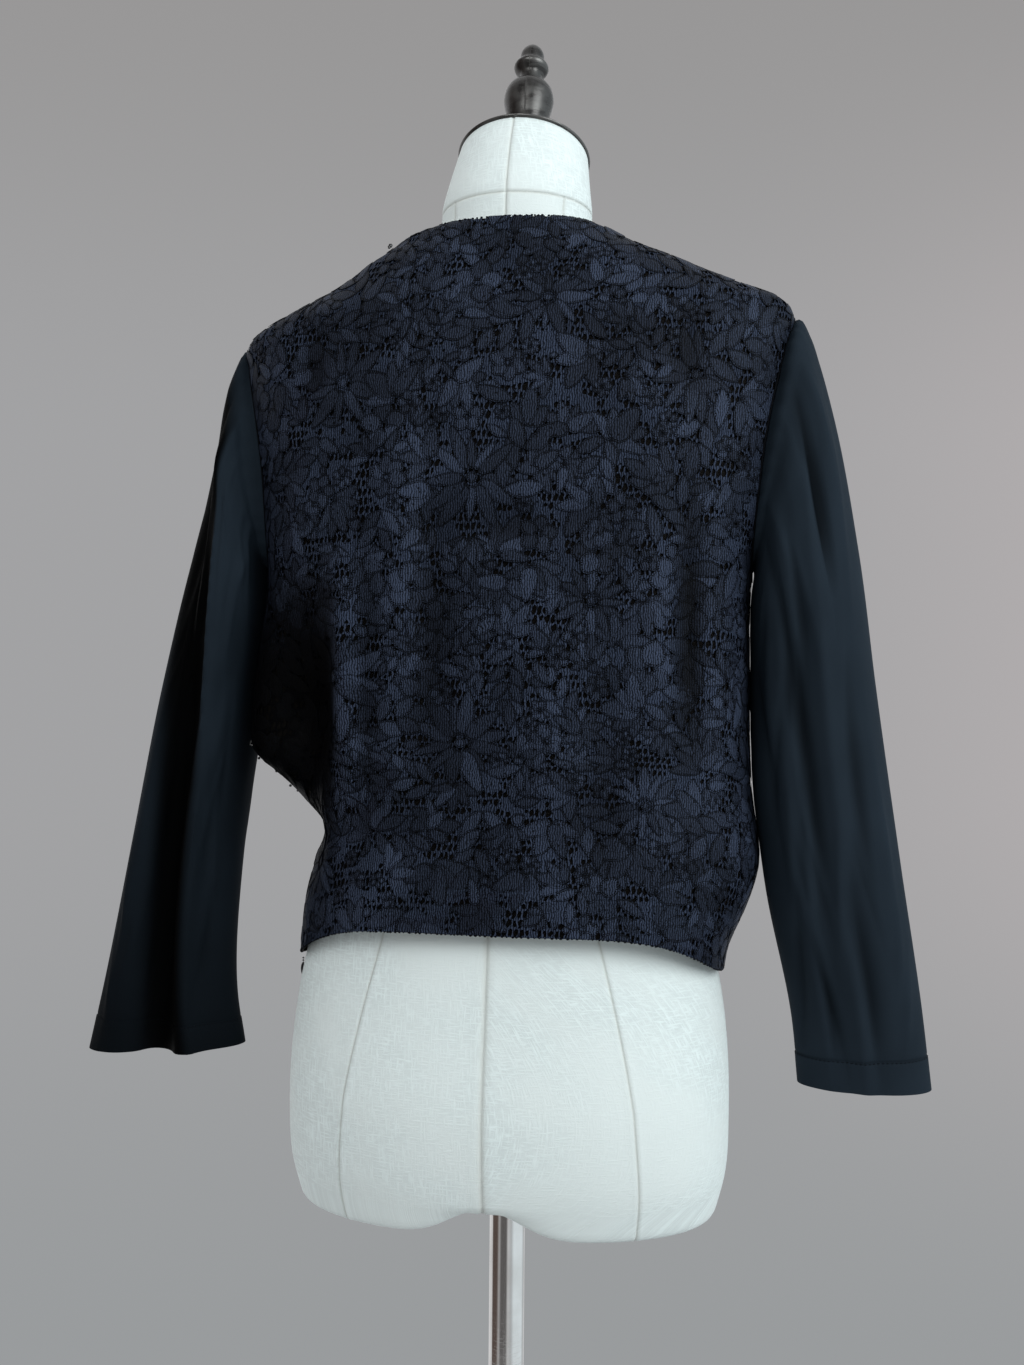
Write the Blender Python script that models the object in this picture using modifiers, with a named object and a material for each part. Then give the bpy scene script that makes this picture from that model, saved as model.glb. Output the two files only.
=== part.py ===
"""A short black lace kebaya blouse on a linen dress form: cut cloth walls, form, neck cap, finial, pole and base.

Metres, +Z up. The origin is the centre of the base's underside. The wearer's left is +X and the back is +Y.
"""

import math

import bmesh
import bpy
import numpy as np

# Driving dimensions, in metres.
LINING_WALL = (0.0, 0.0010)  # from the inner surface outwards
LACE_WALL = (0.0013, 0.0023)
SLEEVE_WALL = (0.0004, 0.0019)
SEAM_GAP = 0.0003
UNDERARM_Z = 1.130
SHOULDER_Z = 1.332
NECK_Z = 1.4155
ARMHOLE_BITE = math.radians(21)  # how far the armhole cuts into the front and the back
BACK_NECK_DROP = 0.0030
FRONT_NECK_Z = 1.345
FRONT_NECK_HALF = 0.060
BACK_HEM_Z = 0.8665
SIDE_HEM_Z = 0.8310
FRONT_HEM_Z = 0.822
FRONT_GAP_TOP = 0.006  # between the two fronts at the neck
FRONT_GAP_HEM = 0.022
SLEEVE_EASE = 0.004  # cloth that follows the body past the armhole before it turns down the arm

POLE_RADIUS = 0.014
POLE_CLEARANCE = 0.0006
SOCKET_DEPTH = 0.060
FORM_NOTCH_Z = 0.664
NECK_TOP = (0.0, -0.035, 1.478)
NECK_TILT = math.radians(20)
CAP_RADIUS = 0.0545
CAP_THICKNESS = 0.004
BASE_RADIUS = 0.190
BASE_EDGE = 0.010
HUB_HEIGHT = 0.048

# Sections of the blouse's inner surface: height, half width on the wearer's left and right,
# back depth, front depth, squareness (2 is an ellipse). The left side swings out, then tucks in.
BODY_SECTIONS = [
    (0.810, 0.166, 0.165, 0.112, 0.116, 2.5),
    (0.850, 0.163, 0.171, 0.110, 0.116, 2.5),
    (0.880, 0.160, 0.184, 0.108, 0.117, 2.5),
    (0.910, 0.153, 0.193, 0.106, 0.118, 2.5),
    (0.936, 0.147, 0.192, 0.104, 0.119, 2.5),
    (0.955, 0.165, 0.189, 0.103, 0.120, 2.5),
    (0.972, 0.182, 0.187, 0.103, 0.121, 2.5),
    (0.995, 0.2065, 0.186, 0.102, 0.122, 2.5),
    (1.020, 0.2085, 0.1855, 0.102, 0.124, 2.5),
    (1.060, 0.2045, 0.185, 0.103, 0.128, 2.5),
    (1.130, 0.1955, 0.186, 0.104, 0.136, 2.5),
    (1.200, 0.201, 0.201, 0.103, 0.133, 2.5),
    (1.270, 0.211, 0.212, 0.100, 0.118, 2.4),
    (1.310, 0.215, 0.2155, 0.095, 0.104, 2.3),
    (1.332, 0.2155, 0.2165, 0.090, 0.094, 2.2),
    (1.343, 0.200, 0.211, 0.087, 0.088, 2.2),
    (1.358, 0.172, 0.186, 0.081, 0.081, 2.1),
    (1.370, 0.147, 0.160, 0.076, 0.075, 2.1),
    (1.384, 0.127, 0.130, 0.070, 0.067, 2.1),
    (1.400, 0.104, 0.096, 0.062, 0.059, 2.0),
    (1.410, 0.087, 0.079, 0.057, 0.056, 2.0),
    (1.4155, 0.0665, 0.0665, 0.053, 0.054, 2.0),
]
# The yoke sags towards the wearer's left: how far it sinks at these X, growing over these heights.
YOKE_SAG_X = [-0.215, -0.190, -0.170, -0.110, -0.050, 0.050]
YOKE_SAG = [0.0, 0.0035, 0.0055, 0.0070, 0.0085, 0.0095]
YOKE_SAG_Z = (1.250, 1.332)
# The slack in the left side of the back falls inwards: depth, then the middle and reach in X and in Z.
LEFT_RECESS = (0.036, 0.150, 0.032, 1.015, 0.070)

# Sections of each sleeve, from the armhole to the cuff: outer edge x, z, inner edge x, z, half depth.
LEFT_SLEEVE = [
    (0.2225, 1.319, 0.2000, 1.138, 0.043),
    (0.2290, 1.303, 0.2032, 1.141, 0.050),
    (0.2345, 1.283, 0.2052, 1.136, 0.055),
    (0.2430, 1.245, 0.2052, 1.122, 0.056),
    (0.2670, 1.150, 0.2062, 1.085, 0.054),
    (0.2890, 1.050, 0.2138, 1.020, 0.048),
    (0.3160, 0.920, 0.2290, 0.905, 0.039),
    (0.3430, 0.795, 0.2320, 0.790, 0.030),
    (0.3560, 0.740, 0.2250, 0.750, 0.026),
]
RIGHT_SLEEVE = [
    (0.2235, 1.329, 0.1870, 1.138, 0.049),
    (0.2300, 1.316, 0.1908, 1.142, 0.052),
    (0.2365, 1.296, 0.1928, 1.136, 0.056),
    (0.2475, 1.255, 0.1920, 1.121, 0.058),
    (0.2665, 1.155, 0.1905, 1.080, 0.057),
    (0.2805, 1.050, 0.1900, 1.010, 0.052),
    (0.3000, 0.915, 0.2030, 0.895, 0.044),
    (0.3180, 0.795, 0.2245, 0.790, 0.031),
    (0.3240, 0.744, 0.2290, 0.745, 0.024),
]
# A pressed ridge and the trough beside it run down the left sleeve: height, middle, width (of the half width).
LEFT_RIDGE = (0.010, -0.38, 0.20)
LEFT_TROUGH = (-0.013, 0.12, 0.26)

# Sections of the dress form: height, half width, back y, front y, squareness, forward tilt of the ring.
FORM_SECTIONS = [
    (0.642, 0.164, 0.098, -0.088, 2.3, 0.0),
    (0.672, 0.1715, 0.108, -0.095, 2.3, 0.0),
    (0.720, 0.174, 0.114, -0.100, 2.3, 0.0),
    (0.800, 0.1695, 0.105, -0.101, 2.3, 0.0),
    (0.860, 0.158, 0.096, -0.098, 2.3, 0.0),
    (0.930, 0.143, 0.085, -0.093, 2.3, 0.0),
    (1.010, 0.127, 0.073, -0.088, 2.3, 0.0),
    (1.090, 0.134, 0.078, -0.104, 2.3, 0.0),
    (1.170, 0.149, 0.090, -0.127, 2.3, 0.0),
    (1.230, 0.165, 0.096, -0.124, 2.3, 0.0),
    (1.272, 0.182, 0.094, -0.110, 2.2, 0.0),
    (1.308, 0.190, 0.086, -0.094, 2.1, 0.0),
    (1.328, 0.184, 0.080, -0.084, 2.1, 0.0),
    (1.340, 0.168, 0.0755, -0.078, 2.05, 0.0),
    (1.354, 0.142, 0.070, -0.070, 2.05, 0.0),
    (1.366, 0.120, 0.064, -0.063, 2.0, 0.0),
    (1.379, 0.098, 0.058, -0.057, 2.0, 0.0),
    (1.391, 0.078, 0.0525, -0.0525, 2.0, 0.0),
    (1.406, 0.0635, 0.048, -0.052, 2.0, 0.03),
    (1.430, 0.0600, 0.0445, -0.057, 2.0, 0.12),
    (1.450, 0.0570, 0.034, -0.068, 2.0, 0.24),
    (1.478, 0.0530, 0.0148, -0.0848, 2.0, 0.364),
]
FORM_NOTCH_REACH = 0.035
FORM_COLUMNS = 40

BACK_COLUMNS = 16
FRONT_COLUMNS = 8
SKIRT_ROWS = 5  # hem to underarm
ARM_ROWS = 10  # underarm to shoulder point, which sets the points around a sleeve
YOKE_HEIGHTS = [1.345, 1.356, 1.370, 1.386, 1.402, NECK_Z]  # shoulder point to neck
RING_SAMPLES = 121

BLACK_LACE = ((0.012, 0.013, 0.018), 0.62, 0.0)
BLACK_LINING = ((0.004, 0.004, 0.005), 0.55, 0.0)
BLACK_CREPE = ((0.006, 0.007, 0.009), 0.60, 0.0)
LINEN = ((0.78, 0.80, 0.78), 0.85, 0.0)
PEWTER = ((0.13, 0.125, 0.12), 0.38, 0.8)
CHROME = ((0.70, 0.69, 0.68), 0.12, 1.0)


def smooth_table(rows):
    """A function of the first column that runs smoothly through every row."""
    table = np.array(rows, float)
    keys, values = table[:, 0], table[:, 1:]
    slopes = np.gradient(values, keys, axis=0)

    def at(key):
        key = min(max(key, keys[0]), keys[-1])
        i = min(int(np.searchsorted(keys, key, side="right")) - 1, len(keys) - 2)
        span = keys[i + 1] - keys[i]
        t = (key - keys[i]) / span
        return (
            (1 + 2 * t) * (1 - t) ** 2 * values[i]
            + t * (1 - t) ** 2 * span * slopes[i]
            + t * t * (3 - 2 * t) * values[i + 1]
            + t * t * (t - 1) * span * slopes[i + 1]
        )

    return at


body_at = smooth_table(BODY_SECTIONS)
form_at = smooth_table(FORM_SECTIONS)


def signed_power(value, power):
    return math.copysign(abs(value) ** power, value)


def hill(value, middle, reach):
    return math.exp(-(((value - middle) / reach) ** 2))


def body_point(angle, z):
    """A point of the blouse's inner surface. The angle starts at the centre back and grows towards +X."""
    left, right, back, front, squareness = body_at(z)
    power = 2 / squareness
    x = (left if math.sin(angle) > 0 else right) * signed_power(math.sin(angle), power)
    y = (back if math.cos(angle) > 0 else front) * signed_power(math.cos(angle), power)
    if math.cos(angle) > 0:
        depth, mid_x, reach_x, mid_z, reach_z = LEFT_RECESS
        fade = min(1.0, y / 0.04)
        y -= depth * fade * hill(x, mid_x, reach_x) * hill(z, mid_z, reach_z)
    low, high = YOKE_SAG_Z
    share = min(1.0, max(0.0, (z - low) / (high - low)))
    sag = share * share * (3 - 2 * share) * np.interp(x, YOKE_SAG_X, YOKE_SAG)
    return np.array([x, y, z - sag])


def body_normal(angle, z):
    step = 0.002
    around = body_point(angle + step, z) - body_point(angle - step, z)
    up = body_point(angle, z + step) - body_point(angle, z - step)
    normal = np.cross(up, around)
    return normal / np.linalg.norm(normal)


def armhole_angle(z):
    """The angle at which a panel ends: the side seam or shoulder seam, or the armhole between them."""
    share = (z - UNDERARM_Z) / (SHOULDER_Z - UNDERARM_Z)
    if not 0.0 < share < 1.0:
        return math.pi / 2
    return math.pi / 2 - ARMHOLE_BITE * math.sqrt(math.sin(math.pi * share))


def hem_z(angle):
    if math.cos(angle) > 0:
        return BACK_HEM_Z - (BACK_HEM_Z - SIDE_HEM_Z) * abs(math.sin(angle)) ** 4
    return SIDE_HEM_Z + (SIDE_HEM_Z - FRONT_HEM_Z) * math.cos(angle)


def row_heights():
    """Every row of a panel as its height at the side, from the hem to the neck."""
    skirt = [SIDE_HEM_Z + (UNDERARM_Z - SIDE_HEM_Z) * i / SKIRT_ROWS for i in range(SKIRT_ROWS)]
    half = (SHOULDER_Z - UNDERARM_Z) / 2
    arm = [UNDERARM_Z + half * (1 - math.cos(math.pi * i / ARM_ROWS)) for i in range(ARM_ROWS + 1)]
    return skirt + arm + YOKE_HEIGHTS


def height_at(angle, row_z):
    """The height of a row at this angle: low rows follow the hem and the back's top rows the neckline."""
    if row_z < UNDERARM_Z:
        rise = (row_z - SIDE_HEM_Z) / (UNDERARM_Z - SIDE_HEM_Z)
        return hem_z(angle) + rise * (UNDERARM_Z - hem_z(angle))
    if row_z > SHOULDER_Z and math.cos(angle) > 0:
        rise = (row_z - SHOULDER_Z) / (NECK_Z - SHOULDER_Z)
        return row_z - rise * BACK_NECK_DROP * math.cos(angle) ** 2
    return row_z


def angle_at_x(x, z):
    """The angle, measured from the centre front, at which the front's surface is this far from the middle."""
    left, _, _, _, squareness = body_at(z)
    return math.asin(min(1.0, (x / left) ** (squareness / 2)))


def front_start(z):
    """The inner edge of a front as an angle from the centre front: the front edge, then the neckline."""
    drop = (z - FRONT_HEM_Z) / (NECK_Z - FRONT_HEM_Z)
    x = (FRONT_GAP_HEM + (FRONT_GAP_TOP - FRONT_GAP_HEM) * drop) / 2
    if z > FRONT_NECK_Z:
        fall = (NECK_Z - z) / (NECK_Z - FRONT_NECK_Z)
        x = max(x, FRONT_NECK_HALF * math.sqrt(max(0.0, 1 - fall**2)))
    return angle_at_x(x, z)


def panel_row(row_z, start, end, columns, trims):
    """Evenly spaced points and normals along one row, with its ends trimmed for the seams."""
    angles = np.linspace(start, end, RING_SAMPLES)
    points = np.array([body_point(a, height_at(a, row_z)) for a in angles])
    lengths = np.concatenate([[0], np.cumsum(np.linalg.norm(np.diff(points, axis=0), axis=1))])
    wanted = np.linspace(trims[0], lengths[-1] - trims[1], columns + 1)
    chosen = np.interp(wanted, lengths, angles)
    return (
        [body_point(a, height_at(a, row_z)) for a in chosen],
        [body_normal(a, height_at(a, row_z)) for a in chosen],
    )


def panel(which):
    """The points and normals of the back or of one front, row by row from the hem."""
    points, normals = [], []
    for row_z in row_heights():
        end = armhole_angle(row_z)
        trim = 0.0 if UNDERARM_Z < row_z < SHOULDER_Z else SEAM_GAP / 2
        if which == "back":
            row = panel_row(row_z, -end, end, BACK_COLUMNS, (trim, trim))
        elif which == "left":
            inner = math.pi - front_start(row_z)
            row = panel_row(row_z, math.pi - end, inner, FRONT_COLUMNS, (trim, 0.0))
        else:
            inner = -math.pi + front_start(row_z)
            row = panel_row(row_z, inner, -math.pi + end, FRONT_COLUMNS, (0.0, trim))
        points.append(row[0])
        normals.append(row[1])
    return np.array(points), np.array(normals)


def armhole(side):
    """Points around one armhole, from the shoulder down the back and up the front, with body normals."""
    points, normals = [], []
    count = 2 * ARM_ROWS
    middle, half = (SHOULDER_Z + UNDERARM_Z) / 2, (SHOULDER_Z - UNDERARM_Z) / 2
    for i in range(count):
        turn = 2 * math.pi * i / count
        z = middle + half * math.cos(turn)
        angle = armhole_angle(z) if i <= ARM_ROWS else math.pi - armhole_angle(z)
        points.append(body_point(side * angle, z))
        normals.append(body_normal(side * angle, z))
    return np.array(points), np.array(normals)


def sleeve_ring(section, side):
    """One section of a sleeve. x runs from 1 at the outer edge to -1 at the inner one."""
    outer_x, outer_z, inner_x, inner_z, half_depth = section
    slack = min(1.0, max(0.0, (1.25 - outer_z) / 0.35)) if side > 0 else 0.0
    ring = []
    for i in range(2 * ARM_ROWS):
        turn = 2 * math.pi * i / (2 * ARM_ROWS)
        x, y = math.cos(turn), half_depth * math.sin(turn)
        if math.sin(turn) > 0:
            for height, middle, reach in (LEFT_RIDGE, LEFT_TROUGH):
                y += slack * height * hill(x, middle, reach)
        along_x = (outer_x + inner_x + x * (outer_x - inner_x)) / 2
        along_z = (outer_z + inner_z + x * (outer_z - inner_z)) / 2
        ring.append([side * along_x, y, along_z])
    return ring


def grid_normals(grid):
    """Normals of a tube given as rings."""
    around = np.roll(grid, -1, axis=1) - np.roll(grid, 1, axis=1)
    along = np.gradient(grid, axis=0)
    normals = np.cross(along, around)
    return normals / np.linalg.norm(normals, axis=2, keepdims=True)


def sleeve(side):
    """Rings and normals of one sleeve, from the armhole seam to the cuff."""
    seam, seam_normals = armhole(side)
    tangents = np.roll(seam, -1, axis=0) - np.roll(seam, 1, axis=0)
    away = side * np.cross(tangents, seam_normals)
    away /= np.linalg.norm(away, axis=1, keepdims=True)
    sections = LEFT_SLEEVE if side > 0 else RIGHT_SLEEVE
    rings = [seam + SEAM_GAP * away, seam + SLEEVE_EASE * away]
    rings += [sleeve_ring(section, side) for section in sections]
    grid = np.array(rings)
    normals = grid_normals(grid) * side
    normals[0] = seam_normals
    normals[1] += seam_normals
    normals[1] /= np.linalg.norm(normals[1], axis=1, keepdims=True)
    return grid, normals


def clear_scene():
    for thing in list(bpy.data.objects):
        bpy.data.objects.remove(thing, do_unlink=True)


def finish_of(name, look):
    colour, roughness, metallic = look
    material = bpy.data.materials.new(name)
    material.use_nodes = True
    shader = material.node_tree.nodes["Principled BSDF"]
    shader.inputs["Base Color"].default_value = (*colour, 1.0)
    shader.inputs["Roughness"].default_value = roughness
    shader.inputs["Metallic"].default_value = metallic
    return material


def place(name, mesh, look):
    piece = bpy.data.objects.new(name, mesh)
    mesh.materials.append(finish_of(name + "_finish", look))
    BLOUSE.objects.link(piece)
    return piece


def mesh_from(name, points, faces):
    """A smooth closed mesh, its faces turned outwards."""
    body = bmesh.new()
    corners = [body.verts.new(p) for p in points]
    for face in faces:
        body.faces.new([corners[i] for i in face])
    bmesh.ops.recalc_face_normals(body, faces=body.faces)
    mesh = bpy.data.meshes.new(name)
    body.to_mesh(mesh)
    body.free()
    mesh.shade_smooth()
    mesh.set_sharp_from_angle(angle=math.radians(40))
    return mesh


def strip(a, b, c, d):
    """A quad as two triangles, always cut the same way, so that skins at two depths stay parallel."""
    return [(a, b, c), (a, c, d)]


def cloth_wall(name, grid, normals, depths, look, round_about):
    """A closed wall between two skins of one grid, moved out along the grid's normals."""
    rows, columns = grid.shape[:2]
    inner, outer = (grid + depth * normals for depth in depths)
    points = np.concatenate([inner.reshape(-1, 3), outer.reshape(-1, 3)])
    spans = columns if round_about else columns - 1

    def at(skin, row, column):
        return skin * rows * columns + row * columns + column % columns

    faces = []
    for row in range(rows - 1):
        for column in range(spans):
            for skin in (0, 1):
                faces += strip(
                    at(skin, row, column),
                    at(skin, row, column + 1),
                    at(skin, row + 1, column + 1),
                    at(skin, row + 1, column),
                )
    for row in (0, rows - 1):
        for column in range(spans):
            faces += strip(
                at(0, row, column), at(0, row, column + 1), at(1, row, column + 1), at(1, row, column)
            )
    if not round_about:
        for column in (0, columns - 1):
            for row in range(rows - 1):
                faces += strip(
                    at(0, row, column), at(0, row + 1, column), at(1, row + 1, column), at(1, row, column)
                )
    place(name, mesh_from(name, points, faces), look)


def make_panels():
    for part, which in (("back", "back"), ("front_left", "left"), ("front_right", "right")):
        grid, normals = panel(which)
        cloth_wall(part + "_lining", grid, normals, LINING_WALL, BLACK_LINING, False)
        cloth_wall(part + "_lace", grid, normals, LACE_WALL, BLACK_LACE, False)


def make_sleeves():
    for name, side in (("sleeve_left", 1), ("sleeve_right", -1)):
        grid, normals = sleeve(side)
        cloth_wall(name, grid, normals, SLEEVE_WALL, BLACK_CREPE, True)


def form_ring(section):
    z, half_width, back, front, squareness, tilt = section
    middle, half_depth = (back + front) / 2, (back - front) / 2
    ring = []
    for i in range(FORM_COLUMNS):
        angle = 2 * math.pi * i / FORM_COLUMNS
        x = half_width * signed_power(math.sin(angle), 2 / squareness)
        y = half_depth * signed_power(math.cos(angle), 2 / squareness)
        lift = (FORM_NOTCH_Z - z) * hill(x, 0.0, FORM_NOTCH_REACH) if z < FORM_NOTCH_Z else 0.0
        ring.append((x, middle + y, z + lift + tilt * y))
    return ring


def circle(radius, z):
    turns = [2 * math.pi * i / FORM_COLUMNS for i in range(FORM_COLUMNS)]
    return [(radius * math.sin(t), radius * math.cos(t), z) for t in turns]


def make_form():
    """Torso and neck in one solid, with a round socket for the pole underneath."""
    socket = POLE_RADIUS + POLE_CLEARANCE
    rings = [circle(socket, FORM_NOTCH_Z + SOCKET_DEPTH), circle(socket, FORM_NOTCH_Z)]
    rings += [form_ring(section) for section in FORM_SECTIONS]
    points = [p for ring in rings for p in ring]
    points += [(0.0, 0.0, FORM_NOTCH_Z + SOCKET_DEPTH), NECK_TOP]
    socket_end, neck_end = len(points) - 2, len(points) - 1
    last = (len(rings) - 1) * FORM_COLUMNS
    faces = []
    for i in range(FORM_COLUMNS):
        j = (i + 1) % FORM_COLUMNS
        for row in range(len(rings) - 1):
            low, high = row * FORM_COLUMNS, (row + 1) * FORM_COLUMNS
            faces += strip(low + i, low + j, high + j, high + i)
        faces += [(socket_end, i, j), (neck_end, last + i, last + j)]
    place("form_body", mesh_from("form_body", points, faces), LINEN)


def turned(name, profile, look, segments, location=(0, 0, 0), tilt=0.0):
    """A turned piece: its profile, as radius and height from top to bottom, swept round by a Screw."""
    mesh = bpy.data.meshes.new(name)
    edges = [(i, i + 1) for i in range(len(profile) - 1)]
    mesh.from_pydata([(radius, 0.0, height) for radius, height in profile], edges, [])
    piece = place(name, mesh, look)
    piece.location = location
    piece.rotation_euler = (tilt, 0.0, 0.0)
    screw = piece.modifiers.new("turned", "SCREW")
    screw.steps = segments
    screw.render_steps = segments
    screw.use_merge_vertices = True
    screw.merge_threshold = 0.0001
    screw.use_smooth_shade = True


def on_neck(distance):
    """A point on the neck's tilted axis, this far above the neck's top face."""
    x, y, z = NECK_TOP
    return (x, y - distance * math.sin(NECK_TILT), z + distance * math.cos(NECK_TILT))


def make_cap_and_finial():
    edge = CAP_THICKNESS / 2
    bend = [math.radians(a) for a in (60, 20, -20, -60)]
    rim = [(CAP_RADIUS - edge * (1 - math.cos(a)), edge * (1 + math.sin(a))) for a in bend]
    cap = [(0.0, CAP_THICKNESS), (CAP_RADIUS - edge, CAP_THICKNESS), *rim, (CAP_RADIUS - edge, 0.0), (0.0, 0.0)]
    turned("neck_cap", cap, PEWTER, 40, on_neck(SEAM_GAP), NECK_TILT)
    finial = [
        (0.0, 0.1170), (0.0048, 0.1158), (0.0090, 0.1105), (0.0102, 0.1050), (0.0104, 0.1000),
        (0.0140, 0.0960), (0.0146, 0.0930), (0.0120, 0.0895), (0.0090, 0.0870), (0.0088, 0.0800),
        (0.0105, 0.0765), (0.0180, 0.0705), (0.0206, 0.0630), (0.0208, 0.0570), (0.0185, 0.0460),
        (0.0165, 0.0380), (0.0125, 0.0310), (0.0120, 0.0250), (0.0165, 0.0210), (0.0165, 0.0170),
        (0.0125, 0.0130), (0.0170, 0.0070), (0.0240, 0.0040), (0.0240, 0.0), (0.0, 0.0),
    ]
    turned("finial", finial, PEWTER, 24, on_neck(CAP_THICKNESS + 2 * SEAM_GAP), NECK_TILT)


def make_stand():
    pole_foot = 0.016
    pole_top = FORM_NOTCH_Z + SOCKET_DEPTH - POLE_CLEARANCE
    pole = [(0.0, pole_top), (POLE_RADIUS, pole_top), (POLE_RADIUS, pole_foot), (0.0, pole_foot)]
    turned("pole", pole, CHROME, 32)
    socket = POLE_RADIUS + POLE_CLEARANCE
    socket_z = pole_foot - POLE_CLEARANCE
    base = [(0.0, socket_z), (socket, socket_z), (socket, HUB_HEIGHT), (0.023, HUB_HEIGHT)]
    base += [(0.025, HUB_HEIGHT - 0.002), (0.027, 0.030), (0.036, 0.022), (0.110, 0.017), (0.170, 0.0135)]
    base += [(BASE_RADIUS - 0.004, BASE_EDGE + 0.001), (BASE_RADIUS, BASE_EDGE - 0.003)]
    base += [(BASE_RADIUS, 0.002), (BASE_RADIUS - 0.002, 0.0), (0.0, 0.0)]
    turned("base", base, CHROME, 56)


clear_scene()
BLOUSE = bpy.data.collections.new("kebaya_blouse")
bpy.context.scene.collection.children.link(BLOUSE)
make_panels()
make_sleeves()
make_form()
make_cap_and_finial()
make_stand()
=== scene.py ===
"""A short black lace kebaya blouse on a linen dress form, finished piece by piece on its solid model.

Metres, +Z up. The wearer's left is +X and the back is +Y.
"""

import math
import random

import bpy
import numpy as np
from mathutils import Matrix, Vector


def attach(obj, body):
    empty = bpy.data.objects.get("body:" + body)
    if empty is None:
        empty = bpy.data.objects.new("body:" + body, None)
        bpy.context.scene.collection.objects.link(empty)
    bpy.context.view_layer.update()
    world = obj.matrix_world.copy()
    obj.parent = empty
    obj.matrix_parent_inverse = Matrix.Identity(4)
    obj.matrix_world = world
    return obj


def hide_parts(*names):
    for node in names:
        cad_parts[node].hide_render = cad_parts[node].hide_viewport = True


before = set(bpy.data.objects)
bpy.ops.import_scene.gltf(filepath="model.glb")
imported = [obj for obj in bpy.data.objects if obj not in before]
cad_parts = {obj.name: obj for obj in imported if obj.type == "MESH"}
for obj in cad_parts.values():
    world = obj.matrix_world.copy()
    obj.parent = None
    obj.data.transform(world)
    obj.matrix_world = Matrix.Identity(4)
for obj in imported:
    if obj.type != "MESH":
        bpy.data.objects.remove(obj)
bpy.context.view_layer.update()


# Base and pole. A weighted steel disc with a hub, and a bright steel tube standing in it.
# Both are turned and chrome plated, so each is a profile swept round the axis.

POLE_RADIUS = 0.014
POLE_TOP = 0.7234
POLE_FOOT = 0.016
BASE_PROFILE = [
    (0.0, 0.0154), (0.0146, 0.0154), (0.0146, 0.0478), (0.0150, 0.0480), (0.0225, 0.0480),
    (0.0240, 0.0476), (0.0250, 0.0462), (0.0256, 0.0430), (0.0262, 0.0370), (0.0275, 0.0300),
    (0.0305, 0.0248), (0.0360, 0.0220), (0.0650, 0.0195), (0.1100, 0.0170), (0.1500, 0.0149),
    (0.1700, 0.0135), (0.1820, 0.0121), (0.1868, 0.0107), (0.1892, 0.0086), (0.1900, 0.0062),
    (0.1900, 0.0020), (0.1895, 0.0006), (0.1880, 0.0), (0.0, 0.0),
]


def put(name, mesh, finish, stands_for=()):
    """Places a mesh as a piece of the object with its finish."""
    piece = bpy.data.objects.new(name, mesh)
    bpy.context.scene.collection.objects.link(piece)
    mesh.materials.append(finish)
    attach(piece, "root")
    if stands_for:
        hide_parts(*stands_for)
    return piece


def surface(name, points, faces, smooth=True, maps=None, tones_and_shading=None):
    """A mesh from points and faces, with maps in metres and a tone for each point, which on the blouse's
    cloths holds painted shade and highlight.
    """
    mesh = bpy.data.meshes.new(name)
    mesh.from_pydata(np.asarray(points).tolist(), [], [tuple(map(int, f)) for f in faces])
    corners = np.zeros(len(mesh.loops), np.int32)
    mesh.loops.foreach_get("vertex_index", corners)
    for title, values in (maps or {}).items():
        layer = mesh.uv_layers.new(name=title)
        layer.data.foreach_set("uv", np.asarray(values, np.float32)[corners].ravel())
    if tones_and_shading is not None:
        shade = mesh.attributes.new("tone", "FLOAT", "POINT")
        shade.data.foreach_set("value", np.asarray(tones_and_shading, np.float32))
    mesh.update()
    if smooth:
        mesh.shade_smooth()
    return mesh


def turned(name, profile, steps, foot=(0, 0, 0), lean=0.0):
    """A turned mesh from its profile of radius and height, leaning forwards from its foot."""
    turn = np.linspace(0, 2 * math.pi, steps, endpoint=False)
    rows = np.array(profile)
    ring = np.stack([np.sin(turn), np.cos(turn)], -1)
    points = np.zeros((len(rows), steps, 3))
    points[..., :2] = rows[:, None, :1] * ring
    points[..., 2] = rows[:, 1:]
    points = points.reshape(-1, 3) @ np.array(Matrix.Rotation(lean, 3, "X")).T + np.array(foot)
    faces = []
    for row in range(len(rows) - 1):
        a = row * steps + np.arange(steps)
        b = row * steps + (np.arange(steps) + 1) % steps
        if rows[row, 0] == 0:
            faces += np.stack([a * 0 + row * steps, b + steps, a + steps], -1).tolist()
        elif rows[row + 1, 0] == 0:
            faces += np.stack([a, b, a * 0 + (row + 1) * steps], -1).tolist()
        else:
            faces += np.stack([a, b, b + steps, a + steps], -1).tolist()
    around = np.tile(turn, len(rows)) * np.repeat(np.maximum(rows[:, 0], 0.004), steps)
    along = np.repeat(np.concatenate([[0], np.cumsum(np.hypot(*np.diff(rows, axis=0).T))]), steps)
    mesh = surface(name, points, faces, maps={"cloth": np.stack([around, along], -1)})
    mesh.set_sharp_from_angle(angle=math.radians(50))
    return mesh


def finish_named(name, **settings):
    """A new finish: the material, its tree and its Principled shader; underscores stand for spaces."""
    finish = bpy.data.materials.new(name)
    finish.use_nodes = True
    shader = finish.node_tree.nodes["Principled BSDF"]
    for key, value in settings.items():
        shader.inputs[key.replace("_", " ")].default_value = value
    return finish, finish.node_tree, shader


def add(tree, kind, feeds=None, **settings):
    """One shader node. A feed is a plain value or another node's output, by input name or number."""
    made = tree.nodes.new("ShaderNode" + kind)
    for key, value in settings.items():
        setattr(made, key, value)
    for key, value in (feeds or {}).items():
        if isinstance(value, bpy.types.NodeSocket):
            tree.links.new(value, made.inputs[key])
        else:
            made.inputs[key].default_value = value
    return made


def maths(tree, operation, *values):
    return add(tree, "Math", dict(enumerate(values)), operation=operation).outputs[0]


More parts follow.
